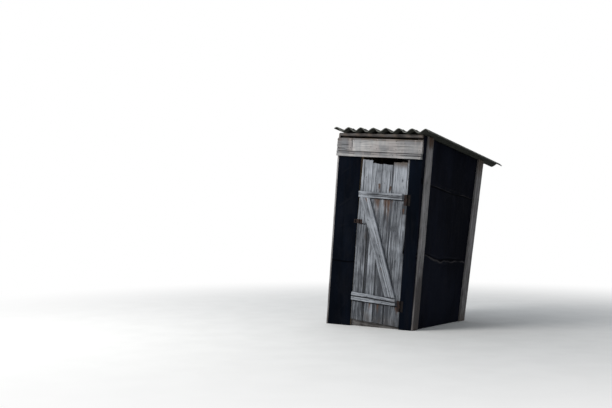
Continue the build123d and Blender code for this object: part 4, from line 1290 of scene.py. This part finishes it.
def back_felt():
    """Upper and lower course of the back wall's felt."""
    h = hut()
    half, outer = wall_face(), h.half_width - h.corner_board
    top = roof_line(back_line(BACK_TOP), rafter_drop() + 0.002)
    joints = np.arange(-half + h.wall_board, half - 0.05, h.wall_board)
    edges = (back_upright(h.felt), -half, half)

    def anywhere(u, v):
        return window(u, -outer, outer, 0.06)

    def foot_lift(u, v, t):
        return (0.004 + 0.004 * noise(u * 5, seed=82)) * (1 - ease(t, 0.0, 0.06)) * anywhere(u, v)

    def foot(level):
        return lambda u: level + 0.010 * noise(u * 4, seed=81)

    upper = felt_skin(
        *edges, foot(0.86), top, 660, 96, 80, anywhere, joints=joints, lift=foot_lift,
        folds=((-0.40, 1.46, 0.40, 1.42, 0.005, 0.0025), (-0.10, 1.22, 0.36, 1.28, 0.006, 0.002)),
    )
    lower = felt_skin(
        *edges, sunk(0.003), 0.90, 680, 96, 70, anywhere, joints=joints, lap_shadows=(foot(0.857),),
        folds=((-0.35, 0.55, 0.30, 0.60, 0.006, 0.002),),
    )
    return upper, lower


def front_felt():
    """Two courses left of the door and one right of it."""
    h, d = hut(), door()
    half, lap = wall_face(), 0.640
    left_stop, right_start = d.left - d.gap, d.left + d.width + d.gap
    top = h.front_height - 0.002
    under_header = h.front_height - h.header_height - h.lath_height
    left_edges, right_edges = (front_upright(0.0), -half, left_stop), (front_upright(0.0), right_start, half)

    def below_header(v):
        return 1 - ease(v, under_header - 0.05, under_header)

    def left_free(u, v):
        clear_hasp = 1 - window(v, d.hasp - 0.09, d.hasp + 0.09, 0.04) * ease(u, -0.36, -0.31)
        return window(u, -half, left_stop, 0.05) * below_header(v) * clear_hasp

    def right_free(u, v):
        return window(u, right_start + 0.04, half, 0.035) * below_header(v)

    def foot(level):
        return lambda u: level + 0.008 * noise(u * 9, seed=91)

    left_upper = felt_skin(
        *left_edges, foot(lap), top, 700, 44, 120, left_free, joints=(-0.388,),
        folds=(
            (-0.50, 1.16, -0.26, 1.32, 0.005, 0.0028), (-0.50, 0.96, -0.26, 1.04, 0.005, 0.0020),
            (-0.48, 1.50, -0.28, 1.66, 0.004, 0.0024),
        ),
        lift=lambda u, v, t: 0.0045 * (1 - ease(t, 0.0, 0.035)) * window(u, -half, left_stop, 0.03),
    )
    left_lower = felt_skin(
        *left_edges, sunk(0.003), lap + 0.03, 720, 44, 56, left_free, joints=(-0.388,),
        lap_shadows=(foot(lap - 0.004),),
    )
    right = felt_skin(*right_edges, sunk(0.003), top, 740, 30, 170, right_free, joints=(0.436,))
    return (left_upper, left_lower), (right,)


class OUTHOUSE_OT_felt(bpy.types.Operator):
    """Builds the buckled roofing felt on the four walls, with its laps, folds and tears"""

    bl_idname = "outhouse.felt"
    bl_label = "Roofing Felt"

    def execute(self, context):
        finish = felt_finish("Roofing_felt", "felt")
        # The felt of the sides and back is a lighter copy: painted light for walls out of the key light.
        shade_lightened_felt = felt_finish("Roofing_felt_dusty", "felt_dusty")
        for course, shape in zip(("upper", "middle", "lower"), side_felt(1, 0)):
            build(f"Felt_right_{course}", [shape], shade_lightened_felt, "shed", [f"right_felt_{course}"])
        build("Felt_left", side_felt(-1, 40), shade_lightened_felt, "shed", ["left_felt"])
        build("Felt_back", back_felt(), shade_lightened_felt, "shed", ["back_felt"])
        for side, shapes in zip(("left", "right"), front_felt()):
            build(f"Felt_front_{side}", shapes, finish, "shed", [f"front_{side}_felt"])
        return {"FINISHED"}


def lay(name, shells, node, finish=None):
    """One piece of the timber that only shows from inside or through gaps."""
    build(name, shells, finish or inner_wood(), "shed", [node])


def back_inset():
    """From the back felt's face to the back wall boards' inner face."""
    return hut().felt + hut().sheathing


class OUTHOUSE_OT_sheathing(bpy.types.Operator):
    """Builds the wall boards behind the felt, each a board of its own, as they show from inside"""

    bl_idname = "outhouse.sheathing"
    bl_label = "Wall Boards"

    def execute(self, context):
        h, d = hut(), door()
        half, inset, clear = wall_face(), back_inset(), 0.0004
        plain = dict(count=7, rows=26, relief=0.0003, wane=0.0)
        damp_foot = dict(rot=lambda a, v: 0.8 * (1 - ease(v, 0.05, 0.35)))
        shared = dict(radius=0.0018, ragged=(0.0, 0.0005), **damp_foot, **plain)
        for side, name in ((1, "right"), (-1, "left")):
            shells = row_of_boards(
                side_upright(half - clear, side), h.sheathing + 0.0005, back_line(0.9, inset),
                side * ground(half) - 0.004, lambda a: roof_line(a, rafter_drop() + 0.001),
                h.sheathing - 0.001, 800 + side, end_right=lambda v: back_line(v, inset + 0.0005), **shared,
            )
            lay(f"Wall_boards_{name}", shells, f"{name}_wall")
        back_top = roof_line(back_line(BACK_TOP, h.felt), rafter_drop() + 0.004)
        span = (-half, half, sunk(0.004), back_top, h.sheathing - 0.001)
        shells = row_of_boards(back_upright(h.felt + clear), *span, 840, **shared)
        lay("Wall_boards_back", shells, "back_wall")
        thick, front_top = h.sheathing - 0.0012, roof_line(0.0, rafter_drop() + 0.002)
        left_stop, right_start = d.left - d.gap, d.left + d.width + d.gap
        dark = {**shared, "rot": 1.2}
        for name, span, seed in (("left", (-half, left_stop), 860), ("right", (right_start, half), 880)):
            shells = row_of_boards(front_upright(0.0006), *span, sunk(0.004), front_top, thick, seed, **dark)
            lay(f"Wall_boards_front_{name}", shells, f"front_wall_{name}")
        low = h.front_height - h.header_height - h.lath_height + 0.013
        middle = 0.5 * (low + front_top)
        spans = ((low, middle - 0.001), (middle + 0.001, front_top))
        ends = (left_stop + 0.001, right_start - 0.001)
        shells = [
            board(front_level(0.0006), *span, *ends, thick, 900 + n, ragged=(0.0, 0.0), **plain)
            for n, span in enumerate(spans)
        ]
        lay("Wall_boards_over_door", shells, "front_wall_over_door")
        return {"FINISHED"}


# Timber out of sight

ROUGH = dict(count=7, rows=26, radius=0.003, relief=0.0005, wane=0.0008, ragged=(0.0, 0.0))
RAIL_HEIGHT, DOOR_POST_WIDTH, JOIST, HALF_HOLE = 0.105, 0.062, 0.060, 0.165


def posts():
    """Four corner posts and the two door posts, from the sills to the rails."""
    h, d = hut(), door()
    inner, post = inner_face(), h.post
    front = front_upright(h.sheathing)
    rail_low = roof_line(h.sheathing + post, rafter_drop()) - RAIL_HEIGHT
    below_rail = 1.65
    back_low = roof_line(back_line(below_rail), rafter_drop() + RAIL_HEIGHT)
    corners = []
    for n, start in enumerate((-inner, inner - post)):
        for place, top, seed in ((front, rail_low, 920), (back_upright(back_inset()), back_low, 930)):
            corners.append(board(place, start, start + post, h.sill_height, top, post, seed + n, **ROUGH))
    lay("Corner_posts", corners, "corner_posts")
    cover = 0.014
    left = d.left - d.gap + cover
    right = d.left + d.width + d.gap - cover
    spans = ((left - DOOR_POST_WIDTH, left, 941), (right, right + DOOR_POST_WIDTH, 942))
    pair = [board(front, a, b, h.sill_height, rail_low, post, seed, **ROUGH) for a, b, seed in spans]
    lay("Door_posts", pair, "door_posts")


def top_rails():
    """Front and back top rail, whose top follows the roof's pitch while the underside stays level."""
    h = hut()
    post, inner, pitch = h.post, inner_face(), math.tan(roof().pitch)
    front, top = h.sheathing, roof_line(h.sheathing + h.post, rafter_drop())
    back_top = roof_line(back_line(BACK_TOP, back_inset()), rafter_drop())

    def sloped(n):
        return (n + RAIL_HEIGHT) / RAIL_HEIGHT

    def front_rail(a, v, n):
        return stand(v, a, top + n + pitch * (front + post - a) * sloped(n))

    def back_rail(a, v, n):
        level = back_top + n
        return stand(v, back_line(level, back_inset() + a), level + pitch * a * sloped(n))

    for name, place, start, seed in (("front", front_rail, front, 951), ("back", back_rail, 0.0, 953)):
        rail = board(place, start, start + post, -inner, inner, RAIL_HEIGHT, seed, **ROUGH)
        lay(f"{name.capitalize()}_top_rail", [rail], f"{name}_top_rail")


def girts():
    """Level timbers halfway up the side walls and the back wall."""
    h = hut()
    inner, post, low, thick = inner_face(), h.post, 0.880, 0.040
    back = back_line(low + 0.5 * post, back_inset() + post)
    shells = [
        board(side_level(inner, side), low, low + post, h.sheathing + post, back, thick, 960 + side, **ROUGH)
        for side in (1, -1)
    ]
    span = (low, low + post, -inner + post, inner - post)
    shells.append(board(back_level(back_inset()), *span, post, 963, **ROUGH))
    lay("Wall_girts", shells, "wall_girts")


def sills():
    """Four ground sills, cut off level with the ground."""
    h = hut()
    inner, sill, top = inner_face(), h.sill_width, h.sill_height
    shells = [
        board(place, sunk(0.003), top, -inner, inner, sill, seed, **ROUGH)
        for place, seed in ((front_level(h.sheathing), 971), (back_level(back_inset()), 972))
    ]
    ends = (h.sheathing + sill + 0.001, back_line(0.05, back_inset() + sill + 0.001))
    for side in (1, -1):
        low = side * ground(inner - 0.5 * sill) - 0.006
        shells.append(board(side_level(inner, side), low, top, *ends, sill, 974 + side, **ROUGH))
    lay("Ground_sills", shells, "ground_sills", roof_wood())


def boarded_floor():
    """Eight floor boards on two joists, the middle two interrupted by the drop hole between the joists."""
    h = hut()
    inner, gap, thick, clear, hole_share = inner_face(), 0.006, 0.022, 0.0005, 0.56
    front = h.sheathing + h.post + clear
    back = back_line(h.sill_height, back_inset() + h.post) - clear
    hole = front + hole_share * (back - front)
    end = inner - h.sill_width - 0.001

    def on_sills(a, v, n):
        return stand(v, a, h.sill_height + n)

    def on_joists(a, v, n):
        return stand(a, v, h.sill_height + thick + n)

    joists = [
        board(on_sills, edge, edge + JOIST, -end, end, JOIST, seed, **ROUGH)
        for edge, seed in ((hole - HALF_HOLE - JOIST, 980), (hole + HALF_HOLE, 981))
    ]
    lay("Floor_joists", joists, "floor_joists")
    step = (2 * (inner - 0.0015) + gap) / 8
    whole, parted = [(front, back)], [(front, hole - HALF_HOLE), (hole + HALF_HOLE, back)]
    wear = dict(count=9, rows=30, radius=0.002, relief=0.0005, wane=0.0006, ragged=(0.0, 0.0), rot=0.25)
    boards = []
    for n in range(8):
        middle = (n - 3.5) * step
        left, right = middle - 0.5 * (step - gap), middle + 0.5 * (step - gap)
        tint = 0.3 * float(noise(n * 2.1, 0.3, 0.0, 5))
        for k, span in enumerate(parted if n in (3, 4) else whole):
            boards.append(board(on_joists, left, right, *span, thick, 990 + 3 * n + k, tint=tint, **wear))
    lay("Floor_boards", boards, "floor_boards")


class OUTHOUSE_OT_timber_frame(bpy.types.Operator):
    """Builds the posts, top rails, girts, ground sills, joists and floor boards"""

    bl_idname = "outhouse.timber_frame"
    bl_label = "Timber Frame"

    def execute(self, context):
        for part in (posts, top_rails, girts, sills, boarded_floor):
            part()
        return {"FINISHED"}


# Roof


def first_crest():
    """Place of the leftmost crest across."""
    return roof().shift - 0.5 * (roof().wave_count - 1) * roof().wave_pitch


def batten_starts():
    """Front edges of the eaves batten, the middle batten and the rear batten."""
    back = rafter_back()
    return -hut().felt - hut().header_thickness, 0.45 * back, back - 2 * roof().batten_width


def valley_shade_and_damp(a, v):
    """Damp and painted shadow of the sheet's valleys on the eaves batten: a base and the cube of a wave
    that is highest under each valley.
    """
    wave = 0.5 - 0.5 * np.cos(2 * math.pi * (v - first_crest()) / roof().wave_pitch)
    return 0.35 + 0.5 * wave**3


class OUTHOUSE_OT_rafters(bpy.types.Operator):
    """Builds the two rafters on the side walls and the three battens that carry the sheet"""

    bl_idname = "outhouse.rafters"
    bl_label = "Rafters and Battens"

    def execute(self, context):
        r = roof()
        eaves, *others = batten_starts()
        outer, inner = wall_face() - 0.0005, wall_face() - r.rafter_width
        width, drop = r.batten_width, r.batten_height / math.cos(r.pitch)
        rafter = dict(count=20, rows=110, radius=0.006, relief=0.0009, ragged=(0.0, 0.003), wane=0.002)
        shells = [
            board(
                on_slope, start, start + r.rafter_width - 0.0005, eaves + width, rafter_back(),
                rafter_drop(), seed, tint=-0.1, rot=0.45, **rafter,
            )
            for start, seed in ((-outer, 1101), (inner, 1117))
        ]
        build("Rafters", shells, roof_wood(), "shed", ["rafters"])
        battens = [
            board(
                # rot paints damp and the painted shadow of the sheet's valleys.
                across_slope, eaves, eaves + width, -outer, outer, drop, 1131, count=12, rows=150,
                radius=0.004, relief=0.0008, ragged=(0.003, 0.003), wane=0.0, tint=-1.4, rot=valley_shade_and_damp,
            )
        ]
        ends = (-inner + 0.001, inner - 0.001)
        hidden = dict(count=8, rows=60, radius=0.003, relief=0.0006, wane=0.0008, ragged=(0.0, 0.0), rot=0.3)
        for n, start in enumerate(others):
            battens.append(board(across_slope, start, start + width, *ends, drop, 1140 + n, **hidden))
        build("Roof_battens", battens, roof_wood(), "shed", ["roof_battens"])
        return {"FINISHED"}


def sheet_grids():
    """Upper and lower face of the corrugated sheet. Profile: half the wave height times the cosine of across,
    offset both ways along its normal by half the thickness; carried along between two chipped end lines."""
    r = roof()
    first = first_crest()
    last = first + (r.wave_count - 1) * r.wave_pitch
    cols, rows = 16 * r.wave_count, 190
    u = np.linspace(first - r.left_margin, last + r.right_margin, cols + 1)[None]
    turn, half, thin = 2 * math.pi / r.wave_pitch, 0.5 * r.wave_height, 0.5 * r.sheet_thickness
    level = half + thin + half * np.cos(turn * (u - first))
    fall = -half * turn * np.sin(turn * (u - first))
    norm = np.hypot(1.0, fall)
    chip = 0.007 * np.clip(layered(u * 21, 0.0, 0.0, 1201, 4) - 0.15, 0, 1)
    start = np.maximum(chip + 0.0015 * layered(u * 130, seed=1202), 0.0) + 0.0003
    stop = r.sheet_length - 0.010 * np.clip(layered(u * 17, 3.0, 0.0, 1203, 4) - 0.1, 0, 1)
    v = start + np.linspace(0, 1, rows)[:, None] * (stop - start)
    side, outwards = np.minimum(u - u.min(), u.max() - u), np.sign(u - r.shift)
    bite = 0.004 * layered(v * 24, 0.0, 0.0, 1204, 4) * (1 - ease(side, 0.0, 0.02)) * outwards
    bite = np.where(outwards * bite > 0, 0, bite)
    valley = 0.5 - 0.5 * np.cos(turn * (u - first))
    # Painted light: on the last wave's outer slope, which faces away from the key light, moss is cut back and
    # the soot coat turns patchy, which lightens it.
    outer_slope = ease(u, last - 0.005, last + 0.03)
    damp = layered(u * 6, v * 4.5, 0.0, 1205, 4) + 0.45 * valley + 0.15 * ease(v, 0.3, 1.5)
    growth = ease(damp, 0.30, 0.75) * (1 - 0.75 * outer_slope)
    tuft = growth * (0.0022 + 0.0022 * layered(u * 85, v * 85, 0.0, 1206, 3))
    skin = 0.0004 * layered(u * 60, v * 30, 0.0, 1207, 3)
    # Soot, darker in the valleys.
    soot_and_shade = np.clip(0.35 + 0.5 * layered(u * 2.5, v * 1.6, 0.0, 1208) + 0.4 * valley, 0, 1)
    soot_and_shade = soot_and_shade * (1 - outer_slope) + outer_slope * ease(layered(u * 9, v * 5, 0.0, 1211), 0.1, 0.6)
    raw_edge = 0.010 + 0.005 * noise(u * 30, seed=1209)
    edge = 1 - ease(np.minimum(v - start, 0.4), 0.002, raw_edge)

    def face(offset, moss, grown, dark):
        lift = offset + moss + skin
        across, out = u + bite - fall / norm * lift, level + lift / norm
        return grid_of(across, v, out, u, v, 0, edge, 0, 0, grown, dark, 0)

    # The underside takes the darkest soot coat: painted shade.
    return face(thin, np.clip(tuft, 0, 0.004), growth, soot_and_shade), face(-thin, 0, 0.25 * growth, 1.15)


def on_sheet(a, v, n):
    """The sheet's frame: across is x, along runs down the slope from the front edge, out is its normal."""
    r = roof()
    along, down = math.cos(r.pitch), math.sin(r.pitch)
    edge_level = hut().front_height + r.rise + math.tan(r.pitch) * r.front_overhang + 0.0003
    return stand(a, -r.front_overhang + v * along + n * down, edge_level - v * down + n * along)


class OUTHOUSE_OT_roof_sheet(bpy.types.Operator):
    """Builds the corrugated sheet with its chipped edges and the moss that grows on it"""

    bl_idname = "outhouse.roof_sheet"
    bl_label = "Corrugated Sheet"

    def execute(self, context):
        sheet = shell(sheet_grids(), on_sheet, close_pair)
        build("Roof_sheet", [sheet], sheet_finish(), "shed", ["roof_sheet"])
        return {"FINISHED"}


# Ironwork


def direction(x, y, z):
    """A direction of the leaning frame, in the row frame."""
    return stand(x, y, z) - stand(0, 0, 0)


def on_front(points, y):
    """Places (x, z) of the front at depth y."""
    points = np.array(points, float)
    return stand(points[:, 0], y, points[:, 1])


def set_heads(name, places, out, radius, body, seed, dome=0.35, sides=10, slot=False, finish="Rusty_iron"):
    """One piece of like heads that all look the same way."""
    outs = np.broadcast_to(out / np.linalg.norm(out), places.shape)
    shells = [heads(places, outs, radius, seed, dome, sides, slot)]
    build(name, shells, bpy.data.materials[finish], body)


def rust_ironwork():
    """Gives every iron node of the frame its rust."""
    rusty_iron("Rusty_iron")
    rusty_iron("Rusty_iron_dark", 0.12)
    rusty_iron("Rusty_iron_hinges", 0.6)
    leaves = [f"{level}_hinge_{leaf}_leaf" for level in ("upper", "lower") for leaf in ("post", "door")]
    for name in leaves + ["hasp_base", "hasp_strap", "hasp_staple"]:
        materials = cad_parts[name].data.materials
        materials.clear()
        materials.append(bpy.data.materials["Rusty_iron_dark" if "post" in name else "Rusty_iron_hinges"])


def set_screws(out):
    """Slotted screws in the hinge leaves and the hasp's base."""
    d = door()
    hinge_x = d.left + d.width + 0.5 * d.gap
    face = -hut().felt - 0.0025
    centres = (d.upper_ledge - 0.028, d.lower_ledge - 0.031)
    slotted = dict(dome=0.32, sides=16, slot=True)
    for side, body, name, finish in (
        (1, "shed", "post", "Rusty_iron_dark"), (-1, "door", "door", "Rusty_iron_hinges")
    ):
        rows = [(c, k) for c in centres for k in range(3)]
        points = [(hinge_x + side * (0.023 + 0.005 * (k % 2)), c + (k - 1) * 0.038) for c, k in rows]
        places = on_front(points, face)
        set_heads(f"Hinge_screws_{name}", places, out, 0.0042, body, 11, finish=finish, **slotted)
    points = [(d.left + 0.038 + 0.012 * (k % 2), d.hasp + (k - 1) * 0.013) for k in range(3)]
    set_heads("Hasp_screws", on_front(points, face), out, 0.0032, "door", 12, **slotted)


def set_board_nails(out):
    """Nails in the ledges, the brace, the header board and the lath."""
    h, d = hut(), door()
    proud = 0.0006
    last = d.left + d.width - 0.076
    for name, level in (("upper", d.upper_ledge), ("lower", d.lower_ledge)):
        points = []
        for k, (_, _, left, right) in enumerate(plank_edges()):
            for m, x in enumerate((left + 0.028, min(right - 0.028, last))):
                points.append((x, level + (0.011 if (k + m) % 2 else -0.010)))
        places = on_front(points, -h.felt - d.ledge + proud)
        set_heads(f"Ledge_nails_{name}", places, out, 0.0038, "door", 13)
    middle, low = brace_line()[2], h.front_height - h.header_height
    brace_nails = (
        (0.40, 0.02), (0.43, -0.025), (0.62, -0.022), (0.64, 0.024), (0.86, 0.020), (0.88, -0.026),
        (1.08, -0.020), (1.11, 0.022), (1.26, 0.024), (1.28, -0.020),
    )
    lath_nails = (
        (-0.495, 0.004), (-0.30, -0.003), (-0.06, 0.003), (0.17, -0.004), (0.33, 0.004), (0.465, -0.002)
    )
    brace = [(float(middle(z)) + dx, z) for z, dx in brace_nails]
    header = [(x, low + z) for x in (-0.500, -0.345, -0.305, -0.03, 0.20, 0.470) for z in (0.032, 0.112)]
    lath = [(x, low - 0.5 * h.lath_height + dz) for x, dz in lath_nails]
    for name, points, thick, radius, body, seed in (
        ("Brace", brace, d.brace, 0.0038, "door", 14),
        ("Header", header, h.header_thickness, 0.0040, "shed", 15),
        ("Lath", lath, h.lath_thickness, 0.0038, "shed", 16),
    ):
        set_heads(f"{name}_nails", on_front(points, -h.felt - thick + proud), out, radius, body, seed)


def set_wall_nails():
    """Nails in the corner boards, and flat-headed ones along the upper felt's lap."""
    h = hut()
    lowest, highest, highest_behind, step = 0.12, 1.85, 1.70, 0.215
    z = np.arange(lowest, highest, step)
    odd, below_roof = np.arange(len(z)) % 2, z < highest_behind
    y = np.arange(0.18, 1.02, 0.105)
    lap = roof_line(y, rafter_drop() + h.upper_lap - 0.016)
    for side, name in ((1, "right"), (-1, "left")):
        out = direction(side, 0, 0)
        front = np.where(odd, 0.030, 0.082)
        if side > 0:
            front = front + math.tan(h.askew_lean) * z
        back = back_line(z) - np.where(odd, 0.034, 0.100)
        x = side * (h.half_width - 0.0014)
        places = np.concatenate([stand(x, front, z), stand(x, back[below_roof], z[below_roof])])
        set_heads(f"Corner_board_nails_{name}", places, out, 0.0040, "shed", 17 + side)
        places = stand(side * (wall_face() + h.felt + 0.0045), y, lap)
        flat = dict(dome=0.18, sides=12, finish="Rusty_iron_dark")
        set_heads(f"Felt_nails_{name}", places, out, 0.0048, "shed", 21 + side, **flat)


def set_roof_nails():
    """Washers and nails through four crests into the three battens."""
    r = roof()
    up = direction(0, math.sin(r.pitch), math.cos(r.pitch))
    crests = first_crest() + r.wave_pitch * np.array([1.0, 2.0, 5.0, 6.0])
    battens = np.array(batten_starts()) + 0.5 * r.batten_width
    x, y = (c.ravel() for c in np.meshgrid(crests, battens))
    crest = roof_line(y) + (r.wave_height + r.sheet_thickness + 0.0003) / math.cos(r.pitch)
    washers = stand(x, y, crest + 0.0004)
    set_heads("Roof_washers", washers, up, 0.0130, "shed", 25, 0.16, 18)
    set_heads("Roof_nails", washers + 0.0019 * up, up, 0.0065, "shed", 26, 0.55, 12)


class OUTHOUSE_OT_ironwork(bpy.types.Operator):
    """Gives the hinges, hasp and staple their rust, and sets their screws and all the nails"""

    bl_idname = "outhouse.ironwork"
    bl_label = "Ironwork and Nails"

    def execute(self, context):
        forward = direction(0, -1, 0)
        rust_ironwork()
        set_screws(forward)
        set_board_nails(forward)
        set_wall_nails()
        set_roof_nails()
        return {"FINISHED"}


# Stage


def floor_finish():
    """Pale floor that fades to plain white, for the camera only, far from the middle."""
    s = Shade(bpy.data.materials.new("Studio_floor"))
    at, base = s.place(), tuple(finishes().floor)
    speck = s.ramp(s.cloud(at, scale=3.0, detail=4), 0.3, 0.7)
    tone = s.mix(speck, shaded(base, 0.965), shaded(base, 1.01))
    plain = s.surface(tone, 0.85, s.cloud(at, scale=90, detail=3), 0.001, 0.2, strength=0.15)
    white = s.node("ShaderNodeEmission", None, {"Color": (1, 1, 1, 1), "Strength": 1.0})
    far = s.node("ShaderNodeVectorMath", {"operation": "LENGTH"}, {0: at}, output="Value")
    seen = s.node("ShaderNodeLightPath", output="Is Camera Ray")
    share = s.ramp(far, 1.3, 6.5) * seen
    return s.finish(s.node("ShaderNodeMixShader", None, {0: share, 1: plain, 2: white}))


def lay_floor():
    """A flat disc of rings round the middle."""
    turn = np.linspace(0, 2 * math.pi, 97)[:-1]
    ring = np.array([0.5, 1.5, 4.0, 12.0, 60.0])[:, None]
    points = grid_of(ring * np.cos(turn), ring * np.sin(turn), 0.0).reshape(-1, 3)
    quads, fans = tube_faces(len(ring), len(turn))
    middle_fan = fans[: len(turn), ::-1]
    mesh = bpy.data.meshes.new("Studio_floor")
    mesh.from_pydata(points.tolist() + [(0.0, 0.0, 0.0)], [], quads[:, ::-1].tolist() + middle_fan.tolist())
    mesh.materials.append(floor_finish())
    floor = bpy.data.objects.new("Studio_floor", mesh)
    bpy.context.scene.collection.objects.link(floor)


def light_world():
    """Pale blue light from all round, which the camera and mirror and clear surfaces see as white."""
    scene = bpy.context.scene
    scene.world = scene.world or bpy.data.worlds.new("World")
    s = Shade(scene.world)
    path = s.node("ShaderNodeLightPath")
    camera, through, mirrored = path.outputs("Is Camera Ray", "Is Transmission Ray", "Is Glossy Ray")
    sky = s.node("ShaderNodeBackground", None, {"Color": (0.90, 0.95, 1.0, 1), "Strength": 0.34})
    white = s.node("ShaderNodeBackground", None, {"Color": (1, 1, 1, 1), "Strength": 1.0})
    seen = camera.largest(through).largest(mirrored)
    both = s.node("ShaderNodeMixShader", None, {0: seen, 1: sky, 2: white})
    s.node("ShaderNodeOutputWorld", None, {"Surface": both})


def lamp(name, place, width, power, tint):
    """A round soft light that looks at the hut's middle."""
    data = bpy.data.lights.new(name, "AREA")
    data.shape, data.size, data.energy, data.color = "DISK", width, power, tint
    made = bpy.data.objects.new(name, data)
    bpy.context.scene.collection.objects.link(made)
    made.location = place
    towards = np.array((0.0, 0.0, 1.0)) - np.array(place)
    x, y, z = towards / np.linalg.norm(towards)
    made.rotation_euler = (math.acos(-z), 0.0, math.atan2(-x, y))


def place_camera():
    """The photo's view: at a bearing and distance from the hut's foot, at eye height, turned and tilted."""
    bearing, turned, tilt = 33.077, 4.198, 1.118
    distance, eye_height, aside = 8.688, 1.082, 0.0075
    data = bpy.data.cameras.new("Camera")
    data.lens, data.sensor_width = 50.0, 36.0
    camera = bpy.data.objects.new("Camera", data)
    bpy.context.scene.collection.objects.link(camera)
    around = math.radians(bearing)
    x = hut().foot_x + aside + math.sin(around) * distance
    camera.location = (x, hut().foot_y - math.cos(around) * distance, eye_height)
    camera.rotation_euler = (math.radians(90 + tilt), 0.0, math.radians(bearing + turned))
    bpy.context.scene.camera = camera


class OUTHOUSE_OT_stage(bpy.types.Operator):
    """Sets the pale floor, the soft studio light and the camera"""

    bl_idname = "outhouse.stage"
    bl_label = "Stage"

    def execute(self, context):
        lay_floor()
        light_world()
        lamp("Key_light", (-3.6, -5.8, 4.4), 4.0, 410.0, (1.0, 0.985, 0.96))
        lamp("Top_light", (-1.6, 0.4, 6.5), 5.0, 110.0, (0.93, 0.96, 1.0))
        place_camera()
        context.scene.view_settings.view_transform = "Standard"
        return {"FINISHED"}


class OUTHOUSE_PT_panel(bpy.types.Panel):
    """Lists the outhouse's pieces, and its sizes and colours"""

    bl_label = "Outhouse"
    bl_idname = "OUTHOUSE_PT_panel"
    bl_space_type = "VIEW_3D"
    bl_region_type = "UI"
    bl_category = "Outhouse"

    def draw(self, context):
        for operator in OPERATORS:
            self.layout.operator(operator.bl_idname)
        for holder in GROUPS:
            group = getattr(context.scene, holder)
            box = self.layout.box()
            for name in group.bl_rna.properties.keys():
                if name not in ("rna_type", "name"):
                    box.prop(group, name)


GROUPS = {
    "outhouse_hut": HutSizes,
    "outhouse_roof": RoofSizes,
    "outhouse_door": DoorSizes,
    "outhouse_finishes": Finishes,
}
OPERATORS = (
    OUTHOUSE_OT_stage,
    OUTHOUSE_OT_timber_frame,
    OUTHOUSE_OT_sheathing,
    OUTHOUSE_OT_felt,
    OUTHOUSE_OT_corner_boards,
    OUTHOUSE_OT_header,
    OUTHOUSE_OT_rafters,
    OUTHOUSE_OT_roof_sheet,
    OUTHOUSE_OT_door_planks,
    OUTHOUSE_OT_door_ledges,
    OUTHOUSE_OT_ironwork,
)


def register():
    for holder, group in GROUPS.items():
        bpy.utils.register_class(group)
        setattr(bpy.types.Scene, holder, PointerProperty(type=group))
    for operator in OPERATORS:
        bpy.utils.register_class(operator)
    bpy.utils.register_class(OUTHOUSE_PT_panel)


def unregister():
    bpy.utils.unregister_class(OUTHOUSE_PT_panel)
    for operator in reversed(OPERATORS):
        bpy.utils.unregister_class(operator)
    for holder, group in reversed(GROUPS.items()):
        delattr(bpy.types.Scene, holder)
        bpy.utils.unregister_class(group)


def main():
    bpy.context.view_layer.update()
    register()
    for operator in OPERATORS:
        group, name = operator.bl_idname.split(".")
        result = getattr(getattr(bpy.ops, group), name)()
        if result != {"FINISHED"}:
            raise RuntimeError(f"{operator.bl_label} didn't finish")


if __name__ == "__main__":
    main()
